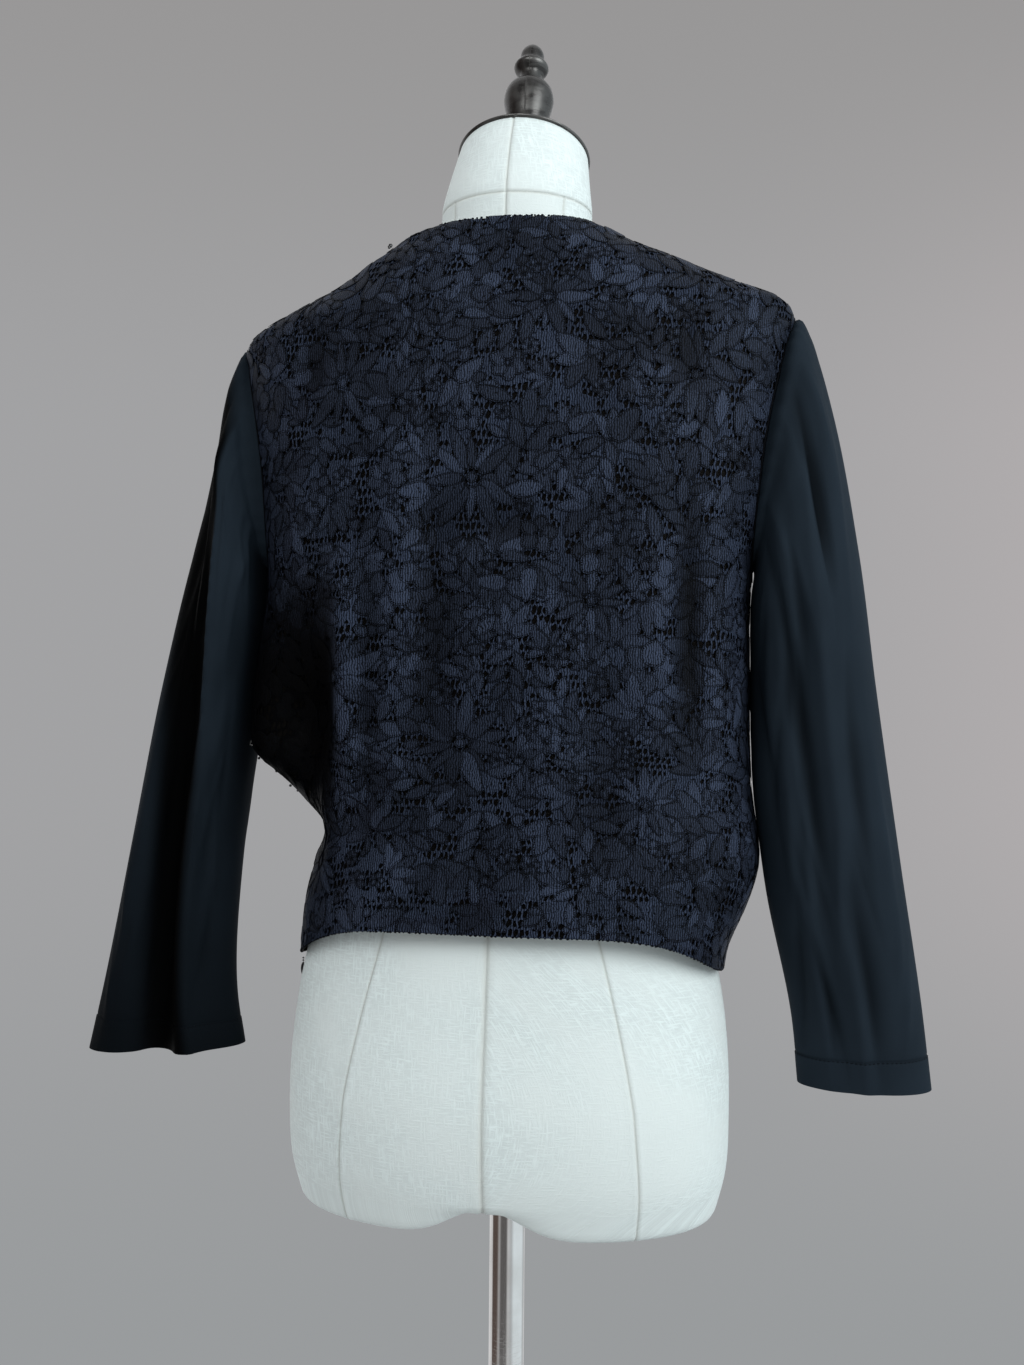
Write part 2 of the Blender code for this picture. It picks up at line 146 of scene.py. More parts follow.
def blend(tree, share, low, high):
    """A colour between two colours."""
    mixed = add(tree, "Mix", data_type="RGBA")
    for key, value in ((0, share), (6, low), (7, high)):
        if isinstance(value, bpy.types.NodeSocket):
            tree.links.new(value, mixed.inputs[key])
        else:
            mixed.inputs[key].default_value = value
    return mixed.outputs[2]


def ramp(tree, value, low, high, low_out=0.0, high_out=1.0):
    feeds = {0: value, 1: low, 2: high, 3: low_out, 4: high_out}
    return add(tree, "MapRange", feeds, interpolation_type="SMOOTHSTEP").outputs[0]


def new_group(name, numbers, outputs, vectors=()):
    """A node group with vector and number inputs and named number outputs."""
    group = bpy.data.node_groups.new(name, "ShaderNodeTree")
    for title in vectors:
        group.interface.new_socket(title, in_out="INPUT", socket_type="NodeSocketVector")
    for title, value in numbers.items():
        socket = group.interface.new_socket(title, in_out="INPUT", socket_type="NodeSocketFloat")
        socket.default_value = value
    for title in outputs:
        group.interface.new_socket(title, in_out="OUTPUT", socket_type="NodeSocketFloat")
    return group, group.nodes.new("NodeGroupInput"), group.nodes.new("NodeGroupOutput")


def placed(tree, group, **feeds):
    """A node group placed in a finish; underscores stand for spaces."""
    made = tree.nodes.new("ShaderNodeGroup")
    made.node_tree = group
    for key, value in feeds.items():
        key = key.replace("_", " ")
        if isinstance(value, bpy.types.NodeSocket):
            tree.links.new(value, made.inputs[key])
        else:
            made.inputs[key].default_value = value
    return made


def cloth_map(tree, title="cloth"):
    return add(tree, "UVMap", uv_map=title).outputs[0]


def bump(tree, height, depth, strength=1.0):
    feeds = {"Height": height, "Distance": depth, "Strength": strength}
    return add(tree, "Bump", feeds).outputs[0]


def make_wear():
    """Handling marks: soft smudges and fine scratches round a turned piece."""
    sizes = {"Smudge Size": 0.03, "Scratch Size": 0.0012}
    group, given, out = new_group("handling_wear", sizes, ["Smudge", "Scratch"], ["Place"])
    smudge_scale = maths(group, "DIVIDE", 1.0, given.outputs["Smudge Size"])
    scratch_scale = maths(group, "DIVIDE", 1.0, given.outputs["Scratch Size"])
    feeds = {"Vector": given.outputs["Place"], "Scale": smudge_scale, "Detail": 4.0}
    smudge = add(group, "TexNoise", feeds)
    drawn = add(group, "Mapping", {0: given.outputs["Place"], 3: (0.04, 1.0, 1.0)})
    feeds = {"Vector": drawn.outputs[0], "Scale": scratch_scale, "Detail": 2.0}
    scratch = add(group, "TexNoise", feeds)
    group.links.new(ramp(group, smudge.outputs[0], 0.35, 0.7), out.inputs["Smudge"])
    group.links.new(ramp(group, scratch.outputs[0], 0.5, 0.75), out.inputs["Scratch"])
    return group


WEAR = make_wear()


def make_chrome():
    finish, tree, shader = finish_named("chrome_plate", Metallic=1.0)
    marks = placed(tree, WEAR, Place=cloth_map(tree), Smudge_Size=0.05, Scratch_Size=0.0010)
    colour = blend(tree, marks.outputs["Smudge"], (0.70, 0.69, 0.68, 1), (0.60, 0.585, 0.57, 1))
    tree.links.new(colour, shader.inputs["Base Color"])
    rough = maths(tree, "MULTIPLY_ADD", marks.outputs["Smudge"], 0.10, 0.07)
    tree.links.new(rough, shader.inputs["Roughness"])
    tree.links.new(bump(tree, marks.outputs["Scratch"], 0.00001), shader.inputs["Normal"])
    return finish


CHROME = make_chrome()
POLE_EASE = 0.0008
pole_profile = [(0.0, POLE_TOP), (POLE_RADIUS - POLE_EASE, POLE_TOP), (POLE_RADIUS, POLE_TOP - POLE_EASE)]
pole_profile += [(POLE_RADIUS, POLE_TOP + (POLE_FOOT - POLE_TOP) * i / 12) for i in range(1, 13)]
pole_profile += [(0.0, POLE_FOOT)]
put("stand_pole", turned("stand_pole", pole_profile, 96), CHROME, ["pole"])
put("stand_base", turned("stand_base", BASE_PROFILE, 160), CHROME, ["base"])


# Dress form: a padded limbless torso and neck under a tight white linen cover.
# The cover is cut in panels, so welted seams run down the back, the sides and the bust.

FORM_SECTIONS = [  # height, half width, back y, front y, squareness, forward tilt of the ring
    (0.642, 0.164, 0.098, -0.088, 2.3, 0.0),
    (0.672, 0.1715, 0.108, -0.095, 2.3, 0.0),
    (0.720, 0.174, 0.114, -0.100, 2.3, 0.0),
    (0.800, 0.1695, 0.105, -0.101, 2.3, 0.0),
    (0.860, 0.158, 0.096, -0.098, 2.3, 0.0),
    (0.930, 0.143, 0.085, -0.093, 2.3, 0.0),
    (1.010, 0.127, 0.073, -0.088, 2.3, 0.0),
    (1.090, 0.134, 0.078, -0.104, 2.3, 0.0),
    (1.170, 0.149, 0.090, -0.127, 2.3, 0.0),
    (1.230, 0.165, 0.096, -0.124, 2.3, 0.0),
    (1.272, 0.182, 0.094, -0.110, 2.2, 0.0),
    (1.308, 0.190, 0.086, -0.094, 2.1, 0.0),
    (1.328, 0.184, 0.080, -0.084, 2.1, 0.0),
    (1.340, 0.168, 0.0755, -0.078, 2.05, 0.0),
    (1.354, 0.142, 0.070, -0.070, 2.05, 0.0),
    (1.366, 0.120, 0.064, -0.063, 2.0, 0.0),
    (1.379, 0.098, 0.058, -0.057, 2.0, 0.0),
    (1.391, 0.078, 0.0525, -0.0525, 2.0, 0.0),
    (1.406, 0.0635, 0.048, -0.052, 2.0, 0.03),
    (1.430, 0.0600, 0.0445, -0.057, 2.0, 0.12),
    (1.450, 0.0570, 0.034, -0.068, 2.0, 0.24),
    (1.478, 0.0530, 0.0148, -0.0848, 2.0, 0.364),
]
NOTCH_Z = 0.664
NOTCH_REACH = 0.035
NECK_TOP = (0.0, -0.035, 1.478)
NECK_SEAM_Z = 1.4225
# Seams as the angle from the centre back, at these heights; the centre front is half a turn.
SEAM_HEIGHTS = [0.642, 0.740, 0.800, 0.865, 0.950, 1.050, 1.170, 1.280, 1.360, 1.420]
SIDE_SEAM = [1.57] * 10
BACK_SEAM = [0.68, 0.62, 0.55, 0.48, 0.42, 0.44, 0.50, 0.50, 0.62, 0.80]
FRONT_SEAM = [2.42, 2.50, 2.54, 2.58, 2.62, 2.60, 2.50, 2.40, 2.24, 2.10]
SEAM_STEPS = (0.0, 0.0006, 0.0016, 0.0040)  # metres beside a seam
WELT_DEPTH = 0.0009
SOCKET_EASE = 0.0006
SOCKET_DEPTH = 0.0594


def smooth_table(rows):
    """A function of the first column that runs smoothly through every row."""
    table = np.array(rows, float)
    keys, values = table[:, 0], table[:, 1:]
    slopes = np.gradient(values, keys, axis=0)

    def at(key):
        key = np.clip(np.asarray(key, float), keys[0], keys[-1])
        i = np.clip(np.searchsorted(keys, key, side="right") - 1, 0, len(keys) - 2)
        span = (keys[i + 1] - keys[i])[..., None]
        t = (key - keys[i])[..., None] / span
        return (
            (1 + 2 * t) * (1 - t) ** 2 * values[i]
            + t * (1 - t) ** 2 * span * slopes[i]
            + t * t * (3 - 2 * t) * values[i + 1]
            + t * t * (t - 1) * span * slopes[i + 1]
        )

    return at


form_at = smooth_table(FORM_SECTIONS)


def signed_power(value, power):
    return np.sign(value) * np.abs(value) ** power


def hill(value, middle, reach):
    return np.exp(-(((value - middle) / reach) ** 2))


def form_point(angle, z):
    """Points of the form's surface, the angle growing from the centre back towards +X."""
    section = form_at(z)
    half_width, back, front, squareness, tilt = np.moveaxis(section, -1, 0)
    y = (back - front) / 2 * signed_power(np.cos(angle), 2 / squareness)
    x = half_width * signed_power(np.sin(angle), 2 / squareness)
    lift = np.where(z < NOTCH_Z, (NOTCH_Z - z) * hill(x, 0.0, NOTCH_REACH), 0.0)
    return np.stack([x, (back + front) / 2 + y, z + lift + tilt * y], -1)


def grid_faces(rows, columns, round_about):
    """Quads of a grid of points, counted row by row."""
    spans = columns if round_about else columns - 1
    row, column = np.mgrid[0 : rows - 1, 0:spans]
    a = row * columns + column
    b = row * columns + (column + 1) % columns
    return np.stack([a, b, b + columns, a + columns], -1).reshape(-1, 4)


def make_form():
    """Rings whose points crowd round each seam, so that a welt can sink between two swollen edges."""
    heights = np.concatenate([
        [0.642, 0.6435, 0.6465], np.linspace(0.651, 1.395, 118), np.linspace(1.400, 1.4205, 8),
        NECK_SEAM_Z + np.array([-0.0010, -0.0004, 0.0, 0.0004, 0.0010]), np.linspace(1.4250, 1.478, 22),
    ])
    seams = [[0.0] * 10, BACK_SEAM, SIDE_SEAM, FRONT_SEAM, [math.pi] * 10]
    seams += [[2 * math.pi - a for a in one] for one in (FRONT_SEAM, SIDE_SEAM, BACK_SEAM)]
    seam_angles = np.array([np.interp(heights, SEAM_HEIGHTS, one) for one in seams])
    between = 18
    rows, tags = [], []
    for row, z in enumerate(heights):
        starts = seam_angles[:, row]
        ends = np.append(starts[1:], 2 * math.pi)
        radius = float(form_at(z)[0]) * 0.85
        ring, tag = [], []
        for start, end in zip(starts, ends):
            beside = [step / radius for step in SEAM_STEPS]
            inner = np.linspace(start + beside[-1], end - beside[-1], between)
            ring += [start + step for step in beside] + list(inner[1:-1])
            ring += [end - step for step in reversed(beside[1:])]
            tag += list(SEAM_STEPS) + [1.0] * (between - 2) + list(SEAM_STEPS[:0:-1])
        rows.append(ring)
        tags.append(tag)
    angles, tags = np.array(rows), np.array(tags)
    z = np.repeat(heights[:, None], angles.shape[1], axis=1)
    points = form_point(angles, z)
    around = form_point(angles + 0.002, z) - form_point(angles - 0.002, z)
    up = form_point(angles, z + 0.001) - form_point(angles, z - 0.001)
    normals = np.cross(up, around)
    normals /= np.linalg.norm(normals, axis=-1, keepdims=True) + 1e-12
    of_neck = heights[:, None] > NECK_SEAM_Z
    # Above the neck seam only the centre back and centre front seams go on.
    keep = np.zeros(angles.shape[1])
    keep[:4] = keep[-3:] = 1
    middle = angles.shape[1] // 2
    keep[middle - 3 : middle + 4] = 1
    strength = np.where(of_neck, keep[None, :], 1.0)
    sink = WELT_DEPTH * hill(tags, 0.0, 0.0007) - 0.00035 * hill(tags, 0.0016, 0.0009)
    ring_gap = np.abs(z - NECK_SEAM_Z)
    sink_ring = WELT_DEPTH * hill(ring_gap, 0.0, 0.0006)
    points = points - normals * (sink * strength + sink_ring)[..., None]
    # The cover turns under at the bottom edge.
    edge = np.clip((0.6465 - heights) / 0.0045, 0, 1)[:, None, None]
    points[..., :2] -= (normals * 0.0022 * edge**2)[..., :2]
    count = angles.shape[1]
    socket = POLE_RADIUS + SOCKET_EASE
    turn = angles[0]
    rim = np.stack([socket * np.sin(turn), socket * np.cos(turn), np.full(count, NOTCH_Z)], -1)
    under = points[0] * [0.93, 0.93, 1.0] + [0, 0, 0.0025]
    top = rim + [0, 0, SOCKET_DEPTH]
    dome = np.tile(np.array(NECK_TOP), (count, 1)) * 0.96 + points[-1] * 0.04
    shell = np.concatenate([top[None], rim[None], under[None], points, dome[None]])
    lengths = np.linalg.norm(np.diff(shell, axis=1, append=shell[:, :1]), axis=2)
    across = np.concatenate([np.zeros((len(shell), 1)), np.cumsum(lengths, axis=1)[:, :-1]], axis=1)
    rise = np.repeat(shell[:, :1, 2], count, axis=1)
    maps = {"cloth": np.stack([across, rise], -1).reshape(-1, 2)}
    seam_tone = np.zeros((len(shell), count))
    seam_tone[3:-1] = np.maximum(hill(tags, 0.0, 0.0012) * strength, hill(ring_gap, 0.0, 0.0012))
    faces = grid_faces(len(shell), count, True)[:, ::-1]
    return surface("form_cover", shell.reshape(-1, 3), faces, maps=maps, tones_and_shading=seam_tone.ravel())


def make_weave():
    """Plain weave: threads that pass over and under, with slubs and uneven tone."""
    sizes = {"Thread Pitch": 0.0007, "Slub Length": 0.012, "Slub Width": 0.0012}
    group, given, out = new_group("plain_weave", sizes, ["Height", "Slub", "Tone"], ["Place"])
    place = given.outputs["Place"]
    apart = add(group, "SeparateXYZ", {0: place})
    waves = []
    for axis in (0, 1):
        turns = maths(group, "DIVIDE", apart.outputs[axis], given.outputs["Thread Pitch"])
        waves.append(maths(group, "SINE", maths(group, "MULTIPLY", turns, math.pi)))
    over = maths(group, "MULTIPLY", waves[0], waves[1])
    warp = maths(group, "MULTIPLY", maths(group, "ABSOLUTE", waves[0]), ramp(group, over, -0.4, 0.4))
    weft = maths(group, "MULTIPLY", maths(group, "ABSOLUTE", waves[1]), ramp(group, over, 0.4, -0.4))
    group.links.new(maths(group, "MAXIMUM", warp, weft), out.inputs["Height"])
    slubs = []
    for axis in (0, 1):
        widths = [given.outputs["Slub Width"], given.outputs["Slub Width"]]
        widths[axis] = given.outputs["Slub Length"]
        scaled = [maths(group, "DIVIDE", apart.outputs[i], widths[i]) for i in (0, 1)]
        joined = add(group, "CombineXYZ", {0: scaled[0], 1: scaled[1], 2: 3.7 * axis})
        noise = add(group, "TexNoise", {"Vector": joined.outputs[0], "Scale": 1.0, "Detail": 2.0})
        slubs.append(noise.outputs[0])
    group.links.new(maths(group, "MAXIMUM", *slubs), out.inputs["Slub"])
    tone = add(group, "TexNoise", {"Vector": place, "Scale": 9.0, "Detail": 3.0})
    group.links.new(tone.outputs[0], out.inputs["Tone"])
    return group


WEAVE = make_weave()


def make_linen():
    finish, tree, shader = finish_named("white_linen_cover", Roughness=0.85, Sheen_Weight=0.15)
    threads = placed(
        tree, WEAVE, Place=cloth_map(tree), Thread_Pitch=0.00085, Slub_Length=0.010, Slub_Width=0.0014
    )
    seam = add(tree, "Attribute", attribute_name="tone").outputs["Fac"]
    slub = ramp(tree, threads.outputs["Slub"], 0.42, 0.72)
    cloth = blend(tree, slub, (0.66, 0.735, 0.73, 1), (0.79, 0.885, 0.88, 1))
    cloth = blend(tree, ramp(tree, threads.outputs["Tone"], 0.35, 0.65), cloth, (0.74, 0.81, 0.80, 1))
    cloth = blend(tree, maths(tree, "MULTIPLY", seam, 0.45), cloth, (0.50, 0.50, 0.45, 1))
    tree.links.new(cloth, shader.inputs["Base Color"])
    relief = maths(tree, "ADD", threads.outputs["Height"], maths(tree, "MULTIPLY", slub, 1.2))
    tree.links.new(bump(tree, relief, 0.00012, 0.7), shader.inputs["Normal"])
    return finish


LINEN = make_linen()
put("form_cover", make_form(), LINEN, ["form_body"])


# Neck cap and finial: a cast rim that closes the neck, and a turned knob screwed into it.
# Both are dark aged pewter, rubbed brighter where hands lift the form.

NECK_LEAN = math.radians(20)
CAP_PROFILE = [
    (0.0, 0.0040), (0.0250, 0.0040), (0.0500, 0.0039), (0.0522, 0.0037), (0.0536, 0.0031),
    (0.0543, 0.0024), (0.0545, 0.0019), (0.0541, 0.0011), (0.0532, 0.0004), (0.0520, 0.0), (0.0, 0.0),
]
FINIAL_PROFILE = [
    (0.0, 0.1170), (0.0026, 0.1168), (0.0048, 0.1158), (0.0072, 0.1135), (0.0090, 0.1105),
    (0.0099, 0.1078), (0.0102, 0.1050), (0.0101, 0.1020), (0.0104, 0.1000), (0.0118, 0.0978),
    (0.0137, 0.0962), (0.0145, 0.0946), (0.0146, 0.0930), (0.0136, 0.0910), (0.0120, 0.0895),
    (0.0100, 0.0880), (0.0090, 0.0866), (0.0087, 0.0835), (0.0088, 0.0800), (0.0093, 0.0780),
    (0.0110, 0.0762), (0.0146, 0.0737), (0.0178, 0.0707), (0.0197, 0.0672), (0.0206, 0.0632),
    (0.0209, 0.0600), (0.0208, 0.0570), (0.0199, 0.0512), (0.0185, 0.0460), (0.0176, 0.0418),
    (0.0163, 0.0376), (0.0142, 0.0340), (0.0127, 0.0312), (0.0119, 0.0280), (0.0121, 0.0250),
    (0.0138, 0.0228), (0.0160, 0.0214), (0.0167, 0.0190), (0.0162, 0.0168), (0.0142, 0.0148),
    (0.0127, 0.0130), (0.0128, 0.0108), (0.0145, 0.0086), (0.0175, 0.0066), (0.0212, 0.0050),
    (0.0236, 0.0036), (0.0240, 0.0018), (0.0236, 0.0), (0.0, 0.0),
]


def on_neck(distance):
    """A point on the neck's leaning axis, this far above the neck's top face."""
    x, y, z = NECK_TOP
    return (x, y - distance * math.sin(NECK_LEAN), z + distance * math.cos(NECK_LEAN))


def make_pewter():
    finish, tree, shader = finish_named("aged_pewter", Metallic=0.85)
    marks = placed(tree, WEAR, Place=cloth_map(tree), Smudge_Size=0.014, Scratch_Size=0.0007)
    rubbed = ramp(tree, add(tree, "NewGeometry").outputs["Pointiness"], 0.50, 0.58)
    old = blend(tree, marks.outputs["Smudge"], (0.036, 0.034, 0.033, 1), (0.092, 0.090, 0.087, 1))
    colour = blend(tree, maths(tree, "MULTIPLY", rubbed, 0.6), old, (0.19, 0.186, 0.18, 1))
    tree.links.new(colour, shader.inputs["Base Color"])
    rough = maths(tree, "MULTIPLY_ADD", marks.outputs["Smudge"], 0.16, 0.24)
    tree.links.new(rough, shader.inputs["Roughness"])
    relief = maths(tree, "ADD", marks.outputs["Scratch"], marks.outputs["Smudge"])
    tree.links.new(bump(tree, relief, 0.00006), shader.inputs["Normal"])
    return finish


PEWTER = make_pewter()
cap_mesh = turned("neck_rim", CAP_PROFILE, 128, on_neck(0.0003), NECK_LEAN)
put("neck_rim", cap_mesh, PEWTER, ["neck_cap"])
knob_mesh = turned("neck_finial", FINIAL_PROFILE, 96, on_neck(0.0046), NECK_LEAN)
put("neck_finial", knob_mesh, PEWTER, ["finial"])


# Linings: plain black satin, cut to the same three shapes as the back and the fronts.
# They hang inside the lace and show behind its holes, at the hem and between the fronts.

UNDERARM_Z = 1.130
SHOULDER_Z = 1.332
NECK_Z = 1.4155
ARMHOLE_BITE = math.radians(21)
BACK_NECK_DROP = 0.0030
FRONT_NECK_Z = 1.345
FRONT_NECK_HALF = 0.060
BACK_HEM_Z = 0.8665
SIDE_HEM_Z = 0.8310
FRONT_HEM_Z = 0.822
FRONT_GAP_TOP = 0.006
FRONT_GAP_HEM = 0.022
SEAM_GAP = 0.0003
BODY_SECTIONS = [  # height, left and right half width, back depth, front depth, squareness
    (0.810, 0.166, 0.165, 0.112, 0.116, 2.5),
    (0.850, 0.163, 0.171, 0.110, 0.116, 2.5),
    (0.880, 0.160, 0.184, 0.108, 0.117, 2.5),
    (0.910, 0.153, 0.193, 0.106, 0.118, 2.5),
    (0.936, 0.147, 0.192, 0.104, 0.119, 2.5),
    (0.955, 0.165, 0.189, 0.103, 0.120, 2.5),
    (0.972, 0.182, 0.187, 0.103, 0.121, 2.5),
    (0.995, 0.2065, 0.186, 0.102, 0.122, 2.5),
    (1.020, 0.2085, 0.1855, 0.102, 0.124, 2.5),
    (1.060, 0.2045, 0.185, 0.103, 0.128, 2.5),
    (1.130, 0.1955, 0.186, 0.104, 0.136, 2.5),
    (1.200, 0.201, 0.201, 0.103, 0.133, 2.5),
    (1.270, 0.211, 0.212, 0.100, 0.118, 2.4),
    (1.310, 0.215, 0.2155, 0.095, 0.104, 2.3),
    (1.332, 0.2155, 0.2165, 0.090, 0.094, 2.2),
    (1.343, 0.200, 0.211, 0.087, 0.088, 2.2),
    (1.358, 0.172, 0.186, 0.081, 0.081, 2.1),
    (1.370, 0.147, 0.160, 0.076, 0.075, 2.1),
    (1.384, 0.127, 0.130, 0.070, 0.067, 2.1),
    (1.400, 0.104, 0.096, 0.062, 0.059, 2.0),
    (1.410, 0.087, 0.079, 0.057, 0.056, 2.0),
    (1.4155, 0.0665, 0.0665, 0.053, 0.054, 2.0),
]
LEFT_RECESS = (0.036, 0.150, 0.032, 1.015, 0.070)  # depth, middle and reach in X, then in Z
# A painted shadow over the left side, beyond the edge of its recess.
LEFT_SIDE_SHADOW = (0.119, 1.020, 0.115)  # its edge in X, then middle and reach in Z
YOKE_SAG_X = [-0.215, -0.190, -0.170, -0.110, -0.050, 0.050]
YOKE_SAG = [0.0, 0.0035, 0.0055, 0.0070, 0.0085, 0.0095]  # how far the yoke sinks at these X
YOKE_SAG_Z = (1.250, 1.332)
# Soft creases of the worn cloth: height, middle and reach in X, middle and reach in Z.
BACK_CREASES = [
    (-0.0060, -0.143, 0.010, 1.085, 0.085),
    (0.0040, -0.166, 0.013, 1.075, 0.100),
    (0.0030, -0.118, 0.015, 1.090, 0.100),
    (0.0045, 0.068, 0.015, 1.140, 0.090),
    (-0.0030, 0.040, 0.016, 1.080, 0.130),
    (0.0065, 0.112, 0.010, 1.045, 0.095),
    (0.0055, 0.127, 0.010, 0.950, 0.040),
    (-0.0035, 0.093, 0.012, 1.040, 0.090),
    (0.0025, -0.040, 0.022, 1.020, 0.120),
    (-0.0025, -0.085, 0.016, 0.980, 0.110),
    (-0.0020, 0.010, 0.016, 0.930, 0.080),
    (0.0025, 0.085, 0.018, 0.900, 0.060),
    (-0.0025, -0.020, 0.060, 1.165, 0.016),
    (0.0020, 0.020, 0.070, 1.200, 0.018),
    (-0.0035, 0.140, 0.014, 1.290, 0.030),
    (-0.0035, -0.140, 0.014, 1.290, 0.030),
]
FRONT_CREASES = [
    (-0.0050, 0.130, 0.014, 1.060, 0.090),
    (0.0040, 0.102, 0.016, 0.990, 0.110),
    (-0.0040, 0.070, 0.014, 0.960, 0.100),
    (0.0030, 0.042, 0.014, 0.920, 0.080),
    (-0.0045, -0.135, 0.014, 1.060, 0.090),
    (0.0035, -0.108, 0.016, 0.980, 0.110),
    (-0.0040, -0.074, 0.014, 0.950, 0.100),
    (0.0030, -0.040, 0.014, 0.910, 0.080),
    (-0.0035, 0.150, 0.016, 1.270, 0.040),
    (-0.0035, -0.150, 0.016, 1.270, 0.040),
]

body_at = smooth_table(BODY_SECTIONS)


def body_point(angle, z):
    """Points of the blouse's inner surface, the angle growing from the centre back towards +X."""
    left, right, back, front, squareness = np.moveaxis(body_at(z), -1, 0)
    sine, cosine = np.sin(angle), np.cos(angle)
    x = np.where(sine > 0, left, right) * signed_power(sine, 2 / squareness)
    y = np.where(cosine > 0, back, front) * signed_power(cosine, 2 / squareness)
    depth, mid_x, reach_x, mid_z, reach_z = LEFT_RECESS
    fade = np.clip(y / 0.04, 0, 1)
    y = y - depth * fade * hill(x, mid_x, reach_x) * hill(z, mid_z, reach_z)
    share = np.clip((z - YOKE_SAG_Z[0]) / (YOKE_SAG_Z[1] - YOKE_SAG_Z[0]), 0, 1)
    sag = share * share * (3 - 2 * share) * np.interp(x, YOKE_SAG_X, YOKE_SAG)
    return np.stack([x, y, z - sag], -1)


def body_normal(angle, z):
    step = 0.002
    around = body_point(angle + step, z) - body_point(angle - step, z)
    up = body_point(angle, z + step) - body_point(angle, z - step)
    normal = np.cross(up, around)
    return normal / np.linalg.norm(normal, axis=-1, keepdims=True)


def crease_height(points):
    """How far the creases lift or sink the cloth at these points."""
    x, y, z = np.moveaxis(points, -1, 0)
    lift = np.zeros(x.shape)
    for creases, facing in ((BACK_CREASES, 1), (FRONT_CREASES, -1)):
        fade = np.clip(facing * y / 0.03, 0, 1)
        for height, mid_x, reach_x, mid_z, reach_z in creases:
            lift += fade * height * hill(x, mid_x, reach_x) * hill(z, mid_z, reach_z)
    return lift


def ease_off(value, reach):
    """1 that falls smoothly to 0 where the value passes zero, most of it within this reach."""
    return 1 / (1 + np.exp(np.clip(value / reach, -60, 60)))


def armhole_angle(z):
    """The angle at which a panel ends: the side or shoulder seam, or the armhole between them."""
    share = (z - UNDERARM_Z) / (SHOULDER_Z - UNDERARM_Z)
    if not 0.0 < share < 1.0:
        return math.pi / 2
    return math.pi / 2 - ARMHOLE_BITE * math.sqrt(math.sin(math.pi * share))


def height_at(angle, row_z):
    """The height of a row: low rows follow the hem, and the back's top rows the neckline."""
    cosine, sine = np.cos(angle), np.sin(angle)
    hem = np.where(
        cosine > 0,
        BACK_HEM_Z - (BACK_HEM_Z - SIDE_HEM_Z) * np.abs(sine) ** 4,
        SIDE_HEM_Z + (SIDE_HEM_Z - FRONT_HEM_Z) * cosine,
    )
    if row_z < UNDERARM_Z:
        rise = (row_z - SIDE_HEM_Z) / (UNDERARM_Z - SIDE_HEM_Z)
        return hem + rise * (UNDERARM_Z - hem)
    if row_z > SHOULDER_Z:
        rise = (row_z - SHOULDER_Z) / (NECK_Z - SHOULDER_Z)
        return row_z - np.where(cosine > 0, rise * BACK_NECK_DROP * cosine**2, 0.0)
    return np.full(np.shape(angle), row_z)


def front_start(z):
    """The inner edge of a front as an angle from the centre front: the front edge, then the neckline."""
    drop = (z - FRONT_HEM_Z) / (NECK_Z - FRONT_HEM_Z)
    x = (FRONT_GAP_HEM + (FRONT_GAP_TOP - FRONT_GAP_HEM) * drop) / 2
    if z > FRONT_NECK_Z:
        fall = (NECK_Z - z) / (NECK_Z - FRONT_NECK_Z)
        x = max(x, FRONT_NECK_HALF * math.sqrt(max(0.0, 1 - fall**2)))
    left, squareness = body_at(z)[[0, 4]]
    return math.asin(min(1.0, (x / left) ** (squareness / 2)))


def fold_shade(points):
    """Painted shade at these points: darker in the crease troughs, lighter as a painted highlight on the
    crease ridges, and a painted shadow over the left side beyond its fold.
    """
    x, y, z = np.moveaxis(points, -1, 0)
    # Painted shade in the crease troughs, painted highlight on the crease ridges.
    trough = np.clip(-crease_height(points) / 0.006, -0.30, 0.78)
    edge, mid_z, reach_z = LEFT_SIDE_SHADOW
    # A painted shadow beyond the left side's fold edge, weaker on the front.
    side_shadow = 0.985 * ease_off(edge - x, 0.0022) * np.exp(-(((z - mid_z) / reach_z) ** 4))
    return 1 - (1 - trough) * (1 - np.where(y > -0.06, side_shadow, side_shadow * 0.6))


